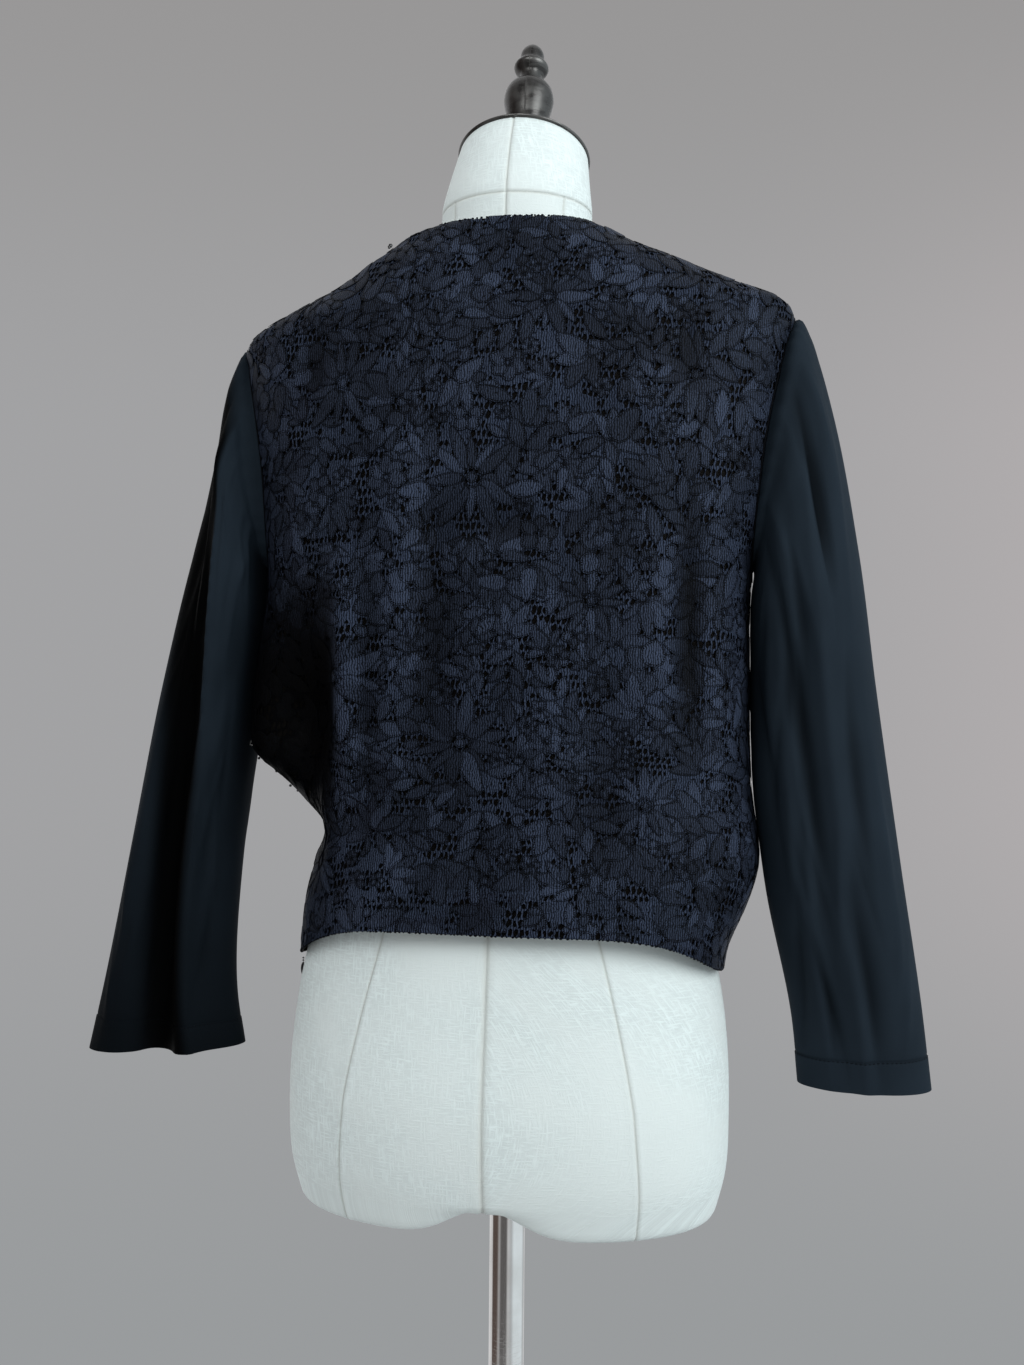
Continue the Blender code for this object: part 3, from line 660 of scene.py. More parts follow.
class Panel:
    """One panel's worn surface, read at flat places: metres across from its seam or middle, and up."""

    def __init__(self, which, columns, skirt_rows, arm_rows, yoke_rows):
        half = (SHOULDER_Z - UNDERARM_Z) / 2
        turn = np.linspace(0, math.pi, arm_rows + 1)
        rows = np.concatenate([
            np.linspace(SIDE_HEM_Z, UNDERARM_Z, skirt_rows + 1)[:-1],
            UNDERARM_Z + half * (1 - np.cos(turn)),
            np.linspace(SHOULDER_Z, NECK_Z, yoke_rows + 1)[1:],
        ])
        grid, normals, across = [], [], []
        for row_z in rows:
            end = armhole_angle(row_z)
            trim = 0.0 if UNDERARM_Z < row_z < SHOULDER_Z else SEAM_GAP / 2
            if which == "back":
                start, stop, trims = -end, end, (trim, trim)
            elif which == "left":
                start, stop, trims = math.pi - end, math.pi - front_start(row_z), (trim, 0.0)
            else:
                start, stop, trims = -math.pi + front_start(row_z), -math.pi + end, (0.0, trim)
            angles = np.linspace(start, stop, 241)
            points = body_point(angles, height_at(angles, row_z))
            steps = np.linalg.norm(np.diff(points, axis=0), axis=1)
            lengths = np.concatenate([[0], np.cumsum(steps)])
            wanted = np.linspace(trims[0], lengths[-1] - trims[1], columns + 1)
            chosen = np.interp(wanted, lengths, angles)
            grid.append(body_point(chosen, height_at(chosen, row_z)))
            normals.append(body_normal(chosen, height_at(chosen, row_z)))
            if which == "back":
                across.append(wanted - np.interp(0.0, angles, lengths))
            else:
                across.append(wanted if which == "left" else wanted - lengths[-1])
        self.grid, self.normals, self.across = map(np.array, (grid, normals, across))
        self.grid = self.grid + self.normals * crease_height(self.grid)[..., None]
        spine = self.grid[:, columns // 2]
        steps = np.linalg.norm(np.diff(spine, axis=0), axis=1)
        self.up = np.concatenate([[0], np.cumsum(steps)])
        self.size = (float(np.ptp(self.across)), float(self.up[-1]))
        self.shade = fold_shade(self.grid)

    def inside(self, places):
        """How far across the panel each flat place is, 0 to 1 on the cloth."""
        row = np.interp(places[:, 1], self.up, np.arange(len(self.up)))
        low = np.minimum(row.astype(int), len(self.up) - 2)
        t = row - low
        first = self.across[low, 0] * (1 - t) + self.across[low + 1, 0] * t
        last = self.across[low, -1] * (1 - t) + self.across[low + 1, -1] * t
        return (places[:, 0] - first) / (last - first)

    def at(self, places, lift):
        """Worn points of these flat places, lifted along the cloth's normals, and the painted shade there.
        """
        u = self.inside(places)
        row = np.interp(places[:, 1], self.up, np.arange(len(self.up)))
        column = np.clip(u, 0, 1) * (self.grid.shape[1] - 1)
        r = np.minimum(row.astype(int), len(self.up) - 2)
        c = np.minimum(column.astype(int), self.grid.shape[1] - 2)
        s, t = (row - r)[:, None], (column - c)[:, None]

        def read(table):
            return (
                table[r, c] * (1 - s) * (1 - t) + table[r, c + 1] * (1 - s) * t
                + table[r + 1, c] * s * (1 - t) + table[r + 1, c + 1] * s * t
            )

        points = read(self.grid) + read(self.normals) * np.reshape(lift, (-1, 1))
        return points, read(self.shade[..., None])[:, 0]

    def shell(self, name, depths, swell=None, step=1):
        """A closed thin cloth between two depths, from every row or fewer, mapped by its flat places and
        toned by its painted shade.
        """
        grid, normals = self.grid[::step], self.normals[::step]
        extra = 0.0 if swell is None else swell(self)[..., None] * normals
        skins = [grid + normals * depths[0], grid + normals * depths[1] + extra]
        heights = np.repeat(self.up[::step, None], grid.shape[1], 1)
        places = np.stack([self.across[::step], heights], -1)
        return two_skins(name, skins, places, 1 - self.shade[::step], False)


def two_skins(name, skins, places, tones_and_shading, round_about):
    """A closed mesh of an inner and an outer skin joined along their free edges."""
    rows, columns = skins[0].shape[:2]
    count = rows * columns
    sheet = grid_faces(rows, columns, round_about)
    faces = [sheet + count, sheet[:, ::-1]]
    spans = np.arange(columns if round_about else columns - 1)
    for row, turn in ((0, 1), (rows - 1, -1)):
        a, b = row * columns + spans, row * columns + (spans + 1) % columns
        faces.append(np.stack([a, b, b + count, a + count], -1)[:, ::turn])
    if not round_about:
        steps = np.arange(rows - 1)
        for column, turn in ((0, -1), (columns - 1, 1)):
            a, b = steps * columns + column, (steps + 1) * columns + column
            faces.append(np.stack([a, b, b + count, a + count], -1)[:, ::turn])
    points = np.concatenate([skin.reshape(-1, 3) for skin in skins])
    flat = np.tile(places.reshape(-1, 2), (2, 1))
    mesh = surface(
        name, points, np.concatenate(faces), maps={"cloth": flat}, tones_and_shading=np.tile(tones_and_shading.ravel(), 2)
    )
    mesh.set_sharp_from_angle(angle=math.radians(60))
    return mesh


def make_satin():
    finish, tree, shader = finish_named("black_satin_lining", Roughness=0.6, Specular_IOR_Level=0.03)
    threads = placed(
        tree, WEAVE, Place=cloth_map(tree), Thread_Pitch=0.0003, Slub_Length=0.02, Slub_Width=0.0008
    )
    colour = blend(tree, threads.outputs["Tone"], (0.0016, 0.0013, 0.0011, 1), (0.0040, 0.0034, 0.0030, 1))
    tree.links.new(colour, shader.inputs["Base Color"])
    tree.links.new(bump(tree, threads.outputs["Height"], 0.00004, 0.5), shader.inputs["Normal"])
    return finish


SATIN = make_satin()
LINING_DEPTHS = (0.0001, 0.0009)
BLOUSE_PANELS = (("back", 128, 66, 46, 26), ("left", 64, 66, 46, 26), ("right", 64, 66, 46, 26))
CLOTHS = {which: Panel(which, *counts) for which, *counts in BLOUSE_PANELS}


def mesh_area(mesh):
    return sum(face.area for face in mesh.polygons)


PARTS = {"back": "back", "left": "front_left", "right": "front_right"}
for which, cloth in CLOTHS.items():
    part = PARTS[which]
    mesh = cloth.shell(part + "_lining_satin", LINING_DEPTHS, step=2)
    lining = put(part + "_lining_satin", mesh, SATIN, [part + "_lining"])


# Lace: a black corded lace over the lining, dense ribbed clothwork with patches of open net.
# Petals and leaves stand a little proud, each outlined by a fine dark cord and a row of pinholes.

LACE_DEPTHS = (0.0014, 0.0020)
HEM_FOLD = 0.033  # the turned-up hem, which shows as a faint ridge
LACE_DARK = (0.0003, 0.0003, 0.0005, 1)
LACE_LIGHT = (0.0420, 0.0560, 0.0930, 1)
NET_TONE = 0.54


def make_lace_ground():
    """Net holes, ribs and uneven nap of the lace, read in metres on the cloth."""
    sizes = {"Rib Pitch": 0.0018, "Hole Pitch": 0.0042, "Hole Rise": 0.0068, "Openness": 0.5}
    group, given, out = new_group("lace_ground", sizes, ["Hole", "Rib", "Nap"], ["Place"])
    place = given.outputs["Place"]
    wander = add(group, "TexNoise", {"Vector": place, "Scale": 210.0, "Detail": 1.0})
    middle = (0.5, 0.5, 0.5)
    shift = add(group, "VectorMath", {0: wander.outputs["Color"], 1: middle}, operation="SUBTRACT")
    shift = add(group, "VectorMath", {0: shift.outputs[0], 3: 0.0030}, operation="SCALE")
    moved = add(group, "VectorMath", {0: place, 1: shift.outputs[0]}, operation="ADD")
    apart = add(group, "SeparateXYZ", {0: moved.outputs[0]})
    across, rise = apart.outputs[0], apart.outputs[1]
    ribs = maths(group, "DIVIDE", across, given.outputs["Rib Pitch"])
    rib = maths(group, "SINE", maths(group, "MULTIPLY", ribs, 2 * math.pi))
    group.links.new(maths(group, "MULTIPLY_ADD", rib, 0.5, 0.5), out.inputs["Rib"])
    # Staggered oval holes, their size drawn from cell to cell.
    row = maths(group, "DIVIDE", rise, given.outputs["Hole Rise"])
    row_number = maths(group, "FLOOR", row)
    slanted = maths(group, "MULTIPLY_ADD", rise, 0.18, across)
    column = maths(group, "DIVIDE", slanted, given.outputs["Hole Pitch"])
    column = maths(group, "MULTIPLY_ADD", maths(group, "MODULO", row_number, 2.0), 0.5, column)
    cell = add(group, "CombineXYZ", {0: maths(group, "FLOOR", column), 1: row_number})
    chance = add(group, "TexWhiteNoise", {0: cell.outputs[0]}, noise_dimensions="2D").outputs["Value"]
    off_x = maths(group, "SUBTRACT", maths(group, "FRACT", column), 0.5)
    off_y = maths(group, "SUBTRACT", maths(group, "FRACT", row), 0.5)
    off_y = maths(group, "MULTIPLY", off_y, 0.86)
    squares = [maths(group, "MULTIPLY", off, off) for off in (off_x, off_y)]
    far = maths(group, "SQRT", maths(group, "ADD", *squares))
    patches = add(group, "TexNoise", {"Vector": place, "Scale": 46.0, "Detail": 2.0, "Roughness": 0.6})
    level = maths(group, "MULTIPLY_ADD", given.outputs["Openness"], 0.5, patches.outputs[0])
    size = maths(group, "MULTIPLY_ADD", chance, 0.15, 0.31)
    size = maths(group, "MULTIPLY", size, ramp(group, level, 0.74, 0.80))
    hole = ramp(group, maths(group, "SUBTRACT", size, far), -0.04, 0.04)
    group.links.new(hole, out.inputs["Hole"])
    fine = add(group, "TexNoise", {"Vector": place, "Scale": 700.0, "Detail": 1.0})
    broad = add(group, "TexNoise", {"Vector": place, "Scale": 16.0, "Detail": 2.0})
    nap = ramp(group, fine.outputs[0], 0.25, 0.75, 0.60, 1.4)
    nap = maths(group, "MULTIPLY", nap, ramp(group, broad.outputs[0], 0.3, 0.7, 0.72, 1.3))
    specks = add(group, "TexVoronoi", {"Vector": moved.outputs[0], "Scale": 230.0})
    chosen = add(group, "SeparateXYZ", {0: specks.outputs["Color"]}).outputs[0]
    pinhole = ramp(group, specks.outputs["Distance"], 0.26, 0.14)
    pinhole = maths(group, "MULTIPLY", pinhole, ramp(group, chosen, 0.55, 0.62))
    nap = maths(group, "MULTIPLY", nap, maths(group, "MULTIPLY_ADD", pinhole, -0.85, 1.0))
    group.links.new(nap, out.inputs["Nap"])
    return group


LACE_GROUND = make_lace_ground()


def lace_colour(tree, ground, share):
    """Black to navy slate: lighter on the rib crests as a painted highlight, varied by the nap, and scaled
    by the tone attribute, which holds painted fold shade and ridge highlight, and on petals their own tone
    too.
    """
    tone = add(tree, "Attribute", attribute_name="tone").outputs["Fac"]
    ribbed = maths(tree, "MULTIPLY_ADD", ground.outputs["Rib"], 1.28, 0.12)
    level = maths(tree, "MULTIPLY", maths(tree, "MULTIPLY", tone, share), ribbed)
    return blend(tree, maths(tree, "MULTIPLY", level, ground.outputs["Nap"]), LACE_DARK, LACE_LIGHT)


def make_net_finish():
    finish, tree, shader = finish_named("lace_net", Roughness=0.65, Specular_IOR_Level=0.03)
    ground = placed(tree, LACE_GROUND, Place=cloth_map(tree), Openness=0.60)
    tree.links.new(lace_colour(tree, ground, NET_TONE), shader.inputs["Base Color"])
    tree.links.new(maths(tree, "SUBTRACT", 1.0, ground.outputs["Hole"]), shader.inputs["Alpha"])
    relief = maths(tree, "ADD", ground.outputs["Rib"], ground.outputs["Nap"])
    tree.links.new(bump(tree, relief, 0.00020, 0.8), shader.inputs["Normal"])
    return finish


def make_petal_finish():
    finish, tree, shader = finish_named("lace_clothwork", Roughness=0.55, Specular_IOR_Level=0.05)
    ground = placed(tree, LACE_GROUND, Place=cloth_map(tree), Openness=-1.0)
    edge = add(tree, "SeparateXYZ", {0: cloth_map(tree, "edge")})
    inward, along = edge.outputs[0], edge.outputs[1]
    row = maths(tree, "ABSOLUTE", maths(tree, "SUBTRACT", inward, 0.0012))
    beat = maths(tree, "FRACT", maths(tree, "DIVIDE", along, 0.0021))
    beat = maths(tree, "ABSOLUTE", maths(tree, "SUBTRACT", beat, 0.5))
    pin = maths(tree, "MULTIPLY", ramp(tree, row, 0.00070, 0.00035), ramp(tree, beat, 0.34, 0.22))
    body = blend(tree, pin, lace_colour(tree, ground, 1.0), (0.0006, 0.0006, 0.0007, 1))
    tree.links.new(body, shader.inputs["Base Color"])
    relief = maths(tree, "ADD", ground.outputs["Rib"], ground.outputs["Nap"])
    relief = maths(tree, "SUBTRACT", relief, maths(tree, "MULTIPLY", pin, 2.0))
    tree.links.new(bump(tree, relief, 0.00018, 0.8), shader.inputs["Normal"])
    return finish


def make_cord_finish():
    finish, tree, shader = finish_named("lace_cord", Roughness=0.6, Specular_IOR_Level=0.03)
    twist = add(tree, "TexNoise", {"Vector": cloth_map(tree), "Scale": 1500.0})
    colour = blend(tree, twist.outputs[0], (0.0008, 0.0009, 0.0012, 1), (0.0040, 0.0046, 0.0065, 1))
    tree.links.new(colour, shader.inputs["Base Color"])
    tree.links.new(bump(tree, twist.outputs[0], 0.0001), shader.inputs["Normal"])
    return finish


NET, CLOTHWORK, CORD = make_net_finish(), make_petal_finish(), make_cord_finish()
OUTLINE_STEPS = 14


def petal(x, y, heading, length, width, fullness=0.7, tip=0.65, bend=0.0):
    """A petal's outline in flat metres: from its foot up one side, round the tip and down the other."""
    half = OUTLINE_STEPS // 2
    rise = (1 - np.cos(np.linspace(0, math.pi, half + 1))) / 2
    side = width / 2 * np.sin(math.pi * rise ** (1 / (2 * tip))) ** fullness
    along = np.concatenate([rise, rise[-2:0:-1]]) * length
    aside = np.concatenate([side, -side[-2:0:-1]]) + bend * (along / length) ** 2 * length
    sine, cosine = math.sin(heading), math.cos(heading)
    return np.stack([x + along * cosine - aside * sine, y + along * sine + aside * cosine], -1)


def bloom(draw, x, y, turn, size):
    """A large open flower: a dozen uneven narrow petals round a small pierced eye."""
    count = draw.choice((11, 12, 13))
    found = []
    for i in range(count):
        heading = turn + 2 * math.pi * i / count + draw.uniform(-0.12, 0.12)
        length = size * draw.uniform(0.62, 1.0)
        foot = size * 0.15
        found.append(petal(
            x + foot * math.cos(heading), y + foot * math.sin(heading), heading, length,
            length * draw.uniform(0.30, 0.42), 0.6, 0.75, draw.uniform(-0.16, 0.16),
        ))
    found.append(petal(x - size * 0.11, y, 0.0, size * 0.22, size * 0.22, 0.5, 0.5))
    return found


def fan(draw, x, y, turn, size):
    """Half a flower seen from the side: broad curling petals that spread from one foot."""
    count = draw.choice((4, 5, 6))
    found = []
    for i in range(count):
        aside = (i - (count - 1) / 2) / count * 2.6
        length = size * draw.uniform(0.75, 1.0) * (1 - 0.12 * abs(aside))
        found.append(petal(
            x, y, turn + aside, length, length * draw.uniform(0.42, 0.58), 0.55, 0.72, 0.22 * aside,
        ))
    return found


def rose(draw, x, y, turn, size):
    """A cluster of small round petals."""
    count = draw.choice((5, 6, 6, 7))
    found = []
    for i in range(count):
        heading = turn + 2 * math.pi * i / count
        found.append(petal(
            x + size * 0.10 * math.cos(heading), y + size * 0.10 * math.sin(heading), heading,
            size * draw.uniform(0.85, 1.0), size * draw.uniform(0.78, 0.95), 0.55, 0.62,
        ))
    return found


def spray(draw, x, y, turn, size):
    """Leaves in pairs along a bent stem."""
    found = []
    bend = draw.choice((-1, 1)) * draw.uniform(0.3, 0.7)
    for i in range(4):
        heading = turn + bend * i / 3
        x, y = x + size * 0.32 * math.cos(heading), y + size * 0.32 * math.sin(heading)
        for side in (-1, 1):
            length = size * (0.62 - 0.07 * i)
            found.append(petal(x, y, heading + side * 0.85, length, size * 0.27, 0.85, 0.5, -side * 0.15))
    found.append(petal(x, y, turn + bend, size * 0.6, size * 0.28, 0.9, 0.5))
    return found


def leaf(draw, x, y, turn, size):
    return [petal(x, y, turn, size, size * draw.uniform(0.34, 0.46), 0.85, 0.5, draw.uniform(-0.2, 0.2))]


def disc(draw, x, y, turn, size):
    return [petal(x, y, turn, size, size * draw.uniform(0.75, 0.95), 0.55, 0.6)]


def covers(outline, x, y):
    """Which of the places lie inside an outline."""
    inside = np.zeros(x.shape, bool)
    ends = np.roll(outline, -1, axis=0)
    for (ax, ay), (bx, by) in zip(outline, ends):
        crossing = (ay > y) != (by > y)
        with np.errstate(divide="ignore", invalid="ignore"):
            inside ^= crossing & (x < (bx - ax) * (y - ay) / (by - ay) + ax)
    return inside


class Yardage:
    """Motifs laid over one panel's flat cut, each where the cloth is still free."""

    CELL = 0.0016

    def __init__(self, cloth, seed):
        self.draw = random.Random(seed)
        self.cloth = cloth
        self.low = np.array([cloth.across.min(), 0.0])
        self.high = np.array([cloth.across.max(), cloth.up[-1]])
        counts = np.ceil((self.high - self.low) / self.CELL).astype(int) + 1
        self.x, self.y = np.meshgrid(*(self.low[i] + self.CELL * np.arange(counts[i]) for i in (0, 1)))
        u = cloth.inside(np.stack([self.x.ravel(), self.y.ravel()], -1))
        self.cut = ((u >= 0) & (u <= 1)).reshape(self.x.shape)
        self.taken = ~self.cut
        self.outlines = []

    def lay(self, outlines, most):
        """Takes the motif if little enough of it falls on cloth that is already taken."""
        every = np.concatenate(outlines)
        corner = np.floor((every.min(0) - self.low) / self.CELL).astype(int)
        corner = np.maximum(corner, 0)
        end = np.maximum(np.ceil((every.max(0) - self.low) / self.CELL).astype(int) + 1, 0)
        window = (slice(corner[1], end[1]), slice(corner[0], end[0]))
        x, y = self.x[window], self.y[window]
        if x.size == 0:
            return False
        shape = np.zeros(x.shape, bool)
        for outline in outlines:
            shape |= covers(outline, x, y)
        if not shape.any() or (shape & self.taken[window]).sum() > most * shape.sum():
            return False
        self.taken[window] |= shape
        self.outlines += outlines
        return True

    def scatter(self, motif, sizes, tries, most):
        for _ in range(tries):
            x = self.draw.uniform(self.low[0], self.high[0])
            y = self.draw.uniform(self.low[1], self.high[1])
            turn = self.draw.uniform(0, 2 * math.pi)
            self.lay(motif(self.draw, x, y, turn, self.draw.uniform(*sizes)), most)


def lay_lace(cloth, seed, blooms):
    """Large flowers first, then roses, sprays, leaves and small discs in what is left."""
    cut = Yardage(cloth, seed)
    wide = cloth.size[0] / 0.508  # a front takes about half as many motifs as the back
    for x, y in blooms:
        cut.lay(bloom(cut.draw, x, y, cut.draw.uniform(0, 6.28), cut.draw.uniform(0.030, 0.042)), 0.9)
    for motif, sizes, tries, most in (
        (fan, (0.020, 0.034), 260, 0.34), (spray, (0.030, 0.052), 300, 0.34),
        (rose, (0.012, 0.021), 420, 0.32), (rose, (0.006, 0.011), 800, 0.30),
        (leaf, (0.014, 0.036), 600, 0.22), (disc, (0.006, 0.013), 800, 0.16),
    ):
        cut.scatter(motif, sizes, int(tries * wide), most)
    return cut


def joined(parts):
    """Points, faces, maps and tones of many small meshes as one."""
    start, points, faces, maps, edges, tones_and_shading = 0, [], [], [], [], []
    for part in parts:
        points.append(part["points"])
        faces += [[i + start for i in face] for face in part["faces"]]
        maps.append(part["map"])
        edges.append(part.get("edge", np.zeros((len(part["points"]), 2))))
        tones_and_shading.append(np.broadcast_to(part.get("tone", 0.5), len(part["points"])))
        start += len(part["points"])
    return (
        np.concatenate(points), faces,
        {"cloth": np.concatenate(maps), "edge": np.concatenate(edges)}, np.concatenate(tones_and_shading),
    )


CORD_FACES = grid_faces(3, OUTLINE_STEPS, True).tolist()
PETAL_FACES = {}  # by the number of rings: quads between them, then a fan to the middle
for count in (2, 3):
    last = (count - 1) * OUTLINE_STEPS
    PETAL_FACES[count] = grid_faces(count, OUTLINE_STEPS, True).tolist() + [
        [last + i, last + (i + 1) % OUTLINE_STEPS, last + OUTLINE_STEPS] for i in range(OUTLINE_STEPS)
    ]
SMALL_ROUND = 0.032  # a petal shorter than this round its edge needs no inner ring
PETAL_INSETS = (0.0, 0.0020, 0.006)  # how far in each ring is taken to lie
PETAL_HEIGHTS = (0.00004, 0.00020, 0.00023)
PETAL_CROWN = 0.00025
PETAL_LAYER = 0.00009  # petals that cross lie one layer over another
CORD_HALF = 0.00026
CORD_HEIGHTS = (0.00004, 0.00032, 0.00016)


def clothwork_and_cords(cut):
    """The raised petals and the cords round them, from the outlines laid on one panel."""
    petals, cords = [], []
    for number, outline in enumerate(cut.outlines):
        u = cut.cloth.inside(outline)
        out = (u < 0) | (u > 1) | (outline[:, 1] < 0) | (outline[:, 1] > cut.high[1])
        if out.mean() > 0.6:
            continue
        middle = outline.mean(axis=0)
        away = outline - middle
        reach = np.linalg.norm(away, axis=1, keepdims=True)
        rings = [outline, middle + away * np.maximum(0.5, 1 - PETAL_INSETS[1] / reach), middle + away * 0.5]
        steps = np.linalg.norm(outline - np.roll(outline, 1, axis=0), axis=1)
        along = np.cumsum(steps)
        if along[-1] < SMALL_ROUND:
            rings = rings[:2]
        count = len(rings)
        flat = np.concatenate([*rings, middle[None]])
        base = LACE_DEPTHS[1] + PETAL_LAYER * (number % 7)
        heights = np.append(np.repeat(PETAL_HEIGHTS[:count], OUTLINE_STEPS), PETAL_CROWN)
        inward = np.append(np.repeat(PETAL_INSETS[:count], OUTLINE_STEPS), 0.01)
        edge = np.stack([inward, np.append(np.tile(along, count), 0.0)], -1)
        points, shade = cut.cloth.at(flat, base + heights)
        tone = 0.34 + 0.46 * cut.draw.uniform(0.0, 1.0) ** 3
        petal_part = {"points": points, "faces": PETAL_FACES[count], "map": flat, "edge": edge}
        # Each petal's own random tone, times the painted fold shade and highlight of the cloth under it.
        petals.append({**petal_part, "tone": tone * (1 - shade)})
        side = away / reach * CORD_HALF
        flat = np.concatenate([outline + side, outline, outline - side])
        heights = np.repeat(CORD_HEIGHTS, OUTLINE_STEPS)
        shut = out & np.roll(out, -1)
        faces = [face for face in CORD_FACES if not shut[face[0] % OUTLINE_STEPS]]
        cords.append({"points": cut.cloth.at(flat, base + heights)[0], "faces": faces, "map": flat})
    return joined(petals), joined(cords)


LEAST_FACE = 2e-9  # square metres; anything smaller has folded onto itself


def tidy_mesh(name, made, finish):
    """A joined mesh without the faces that the cut edge has squeezed to nothing."""
    points, faces, maps, tones_and_shading = made
    corners = [points[face] for face in faces]
    keep = []
    for face, corner in zip(faces, corners):
        first = np.cross(corner[1] - corner[0], corner[2] - corner[0])
        last = np.cross(corner[2] - corner[0], corner[-1] - corner[0])
        if np.linalg.norm(first) + np.linalg.norm(last) > LEAST_FACE:
            keep.append(face)
    return put(name, surface(name, points, keep, maps=maps, tones_and_shading=tones_and_shading), finish)


def hem_ridge(cloth):
    """The turned-up hem lies double, so the lace stands out a little below its fold line."""
    above = cloth.up - HEM_FOLD
    height = 0.00035 * (ease_off(above, 0.0006) + hill(above, 0.0, 0.0010))
    return np.repeat(height[:, None], cloth.grid.shape[1], axis=1)


BLOOMS = {
    "back": [
        (-0.075, 0.255), (0.115, 0.420), (0.012, 0.345), (-0.150, 0.420), (0.020, 0.150),
        (-0.115, 0.100), (0.120, 0.200), (-0.040, 0.480), (0.150, 0.060),
    ],
    "left": [(0.090, 0.330), (0.190, 0.200), (0.080, 0.130), (0.160, 0.440)],
    "right": [(-0.100, 0.320), (-0.190, 0.210), (-0.085, 0.120), (-0.150, 0.450)],
}
for seed, (which, cloth) in enumerate(CLOTHS.items()):
    part = PARTS[which]
    mesh = cloth.shell(part + "_lace_net", LACE_DEPTHS, hem_ridge)
    net = put(part + "_lace_net", mesh, NET, [part + "_lace"])
    cut = lay_lace(cloth, 31 + seed, BLOOMS[which])
    work, cords = clothwork_and_cords(cut)
    raised = tidy_mesh(part + "_lace_clothwork", work, CLOTHWORK)
    lines = tidy_mesh(part + "_lace_cords", cords, CORD)


# Sleeves: long one-piece sleeves in a smooth black crepe, sewn under the arm, eased into the armholes.
# They hang empty, so the left one is pressed into a ridge and a trough; the hems are turned up.

LEFT_SLEEVE = [  # outer edge x, z, inner edge x, z, half depth
    (0.2225, 1.319, 0.2000, 1.138, 0.043),
    (0.2290, 1.303, 0.2032, 1.141, 0.050),
    (0.2345, 1.283, 0.2052, 1.136, 0.055),
    (0.2430, 1.245, 0.2052, 1.122, 0.056),
    (0.2670, 1.150, 0.2062, 1.085, 0.054),
    (0.2890, 1.050, 0.2138, 1.020, 0.048),
    (0.3160, 0.920, 0.2290, 0.905, 0.039),
    (0.3430, 0.795, 0.2320, 0.790, 0.030),
    (0.3560, 0.740, 0.2250, 0.750, 0.026),
]
RIGHT_SLEEVE = [
    (0.2235, 1.329, 0.1870, 1.138, 0.049),
    (0.2300, 1.316, 0.1908, 1.142, 0.052),
    (0.2365, 1.296, 0.1928, 1.136, 0.056),
    (0.2475, 1.255, 0.1920, 1.121, 0.058),
    (0.2665, 1.155, 0.1905, 1.080, 0.057),
    (0.2805, 1.050, 0.1900, 1.010, 0.052),
    (0.3000, 0.915, 0.2030, 0.895, 0.044),
    (0.3180, 0.795, 0.2245, 0.790, 0.031),
    (0.3240, 0.744, 0.2290, 0.745, 0.024),
]
LEFT_RIDGE = (0.010, -0.38, 0.20)
LEFT_TROUGH = (-0.013, 0.12, 0.26)
SLEEVE_EASE = 0.004
SLEEVE_DEPTHS = (0.0009, 0.0019)
SLEEVE_HEM = 0.025
# The left sleeve's pressed fold: how far down, then where across its edge and its valley's end run.
FOLD_EDGE = ([0.04, 0.12, 0.25, 0.35, 0.55, 1.0], [0.30, 0.12, -0.08, -0.22, -0.37, -0.44])
FOLD_VALLEY = ([0.10, 0.26, 0.38, 0.50, 0.70, 1.0], [1.20, 1.08, 0.84, 0.56, 0.36, 0.22])
# Creases: back 1 or front -1, height, middle and reach across (1 outer edge, -1 inner edge), and
# middle and reach down the sleeve (0 shoulder, 1 cuff). Every one of these runs straight down.
RIGHT_CREASES = [
    (1, 0.0050, 0.66, 0.13, 0.10, 0.09),
    (1, -0.0045, 0.38, 0.14, 0.15, 0.14),
    (1, 0.0050, 0.16, 0.16, 0.42, 0.24),
    (1, -0.0050, -0.20, 0.17, 0.48, 0.26),
    (1, 0.0040, -0.52, 0.16, 0.56, 0.30),
    (1, -0.0035, 0.52, 0.14, 0.56, 0.14),
    (1, 0.0035, 0.74, 0.12, 0.64, 0.18),
    (1, -0.0040, 0.22, 0.16, 0.80, 0.14),
    (1, 0.0035, 0.02, 0.14, 0.88, 0.12),
    (-1, 0.0050, 0.50, 0.18, 0.12, 0.16),
    (-1, -0.0045, 0.10, 0.20, 0.45, 0.20),
    (-1, 0.0040, -0.30, 0.20, 0.65, 0.22),
]
LEFT_CREASES = [
    (1, 0.0050, 0.30, 0.16, 0.06, 0.10),
    (1, -0.0060, 0.60, 0.16, 0.14, 0.14),
    (1, 0.0030, 0.62, 0.18, 0.66, 0.26),
    (1, -0.0030, -0.74, 0.12, 0.50, 0.25),
    (-1, 0.0050, 0.45, 0.18, 0.12, 0.16),
    (-1, -0.0050, 0.05, 0.20, 0.45, 0.20),
    (-1, 0.0045, -0.35, 0.20, 0.65, 0.22),
]
# How far each inner edge leans to the body or gives way to it, at these shares of the way down.
SLEEVE_LEAN = {
    1: ([0.05, 0.09, 0.16, 0.22, 0.26, 0.30, 0.35, 0.40, 0.45],
        [0.0, 0.0025, 0.0025, 0.0010, -0.0001, -0.0009, -0.0013, -0.0009, 0.0]),
    -1: ([0.05, 0.09, 0.16, 0.24, 0.29, 0.34, 0.40, 0.46, 0.50, 0.55, 0.60, 0.66],
         [0.0, 0.0009, 0.0015, 0.0009, 0.0, -0.0006, -0.0011, -0.0009, -0.0002, 0.0002, -0.0002, 0.0]),
}
SLEEVE_COLUMNS = 144


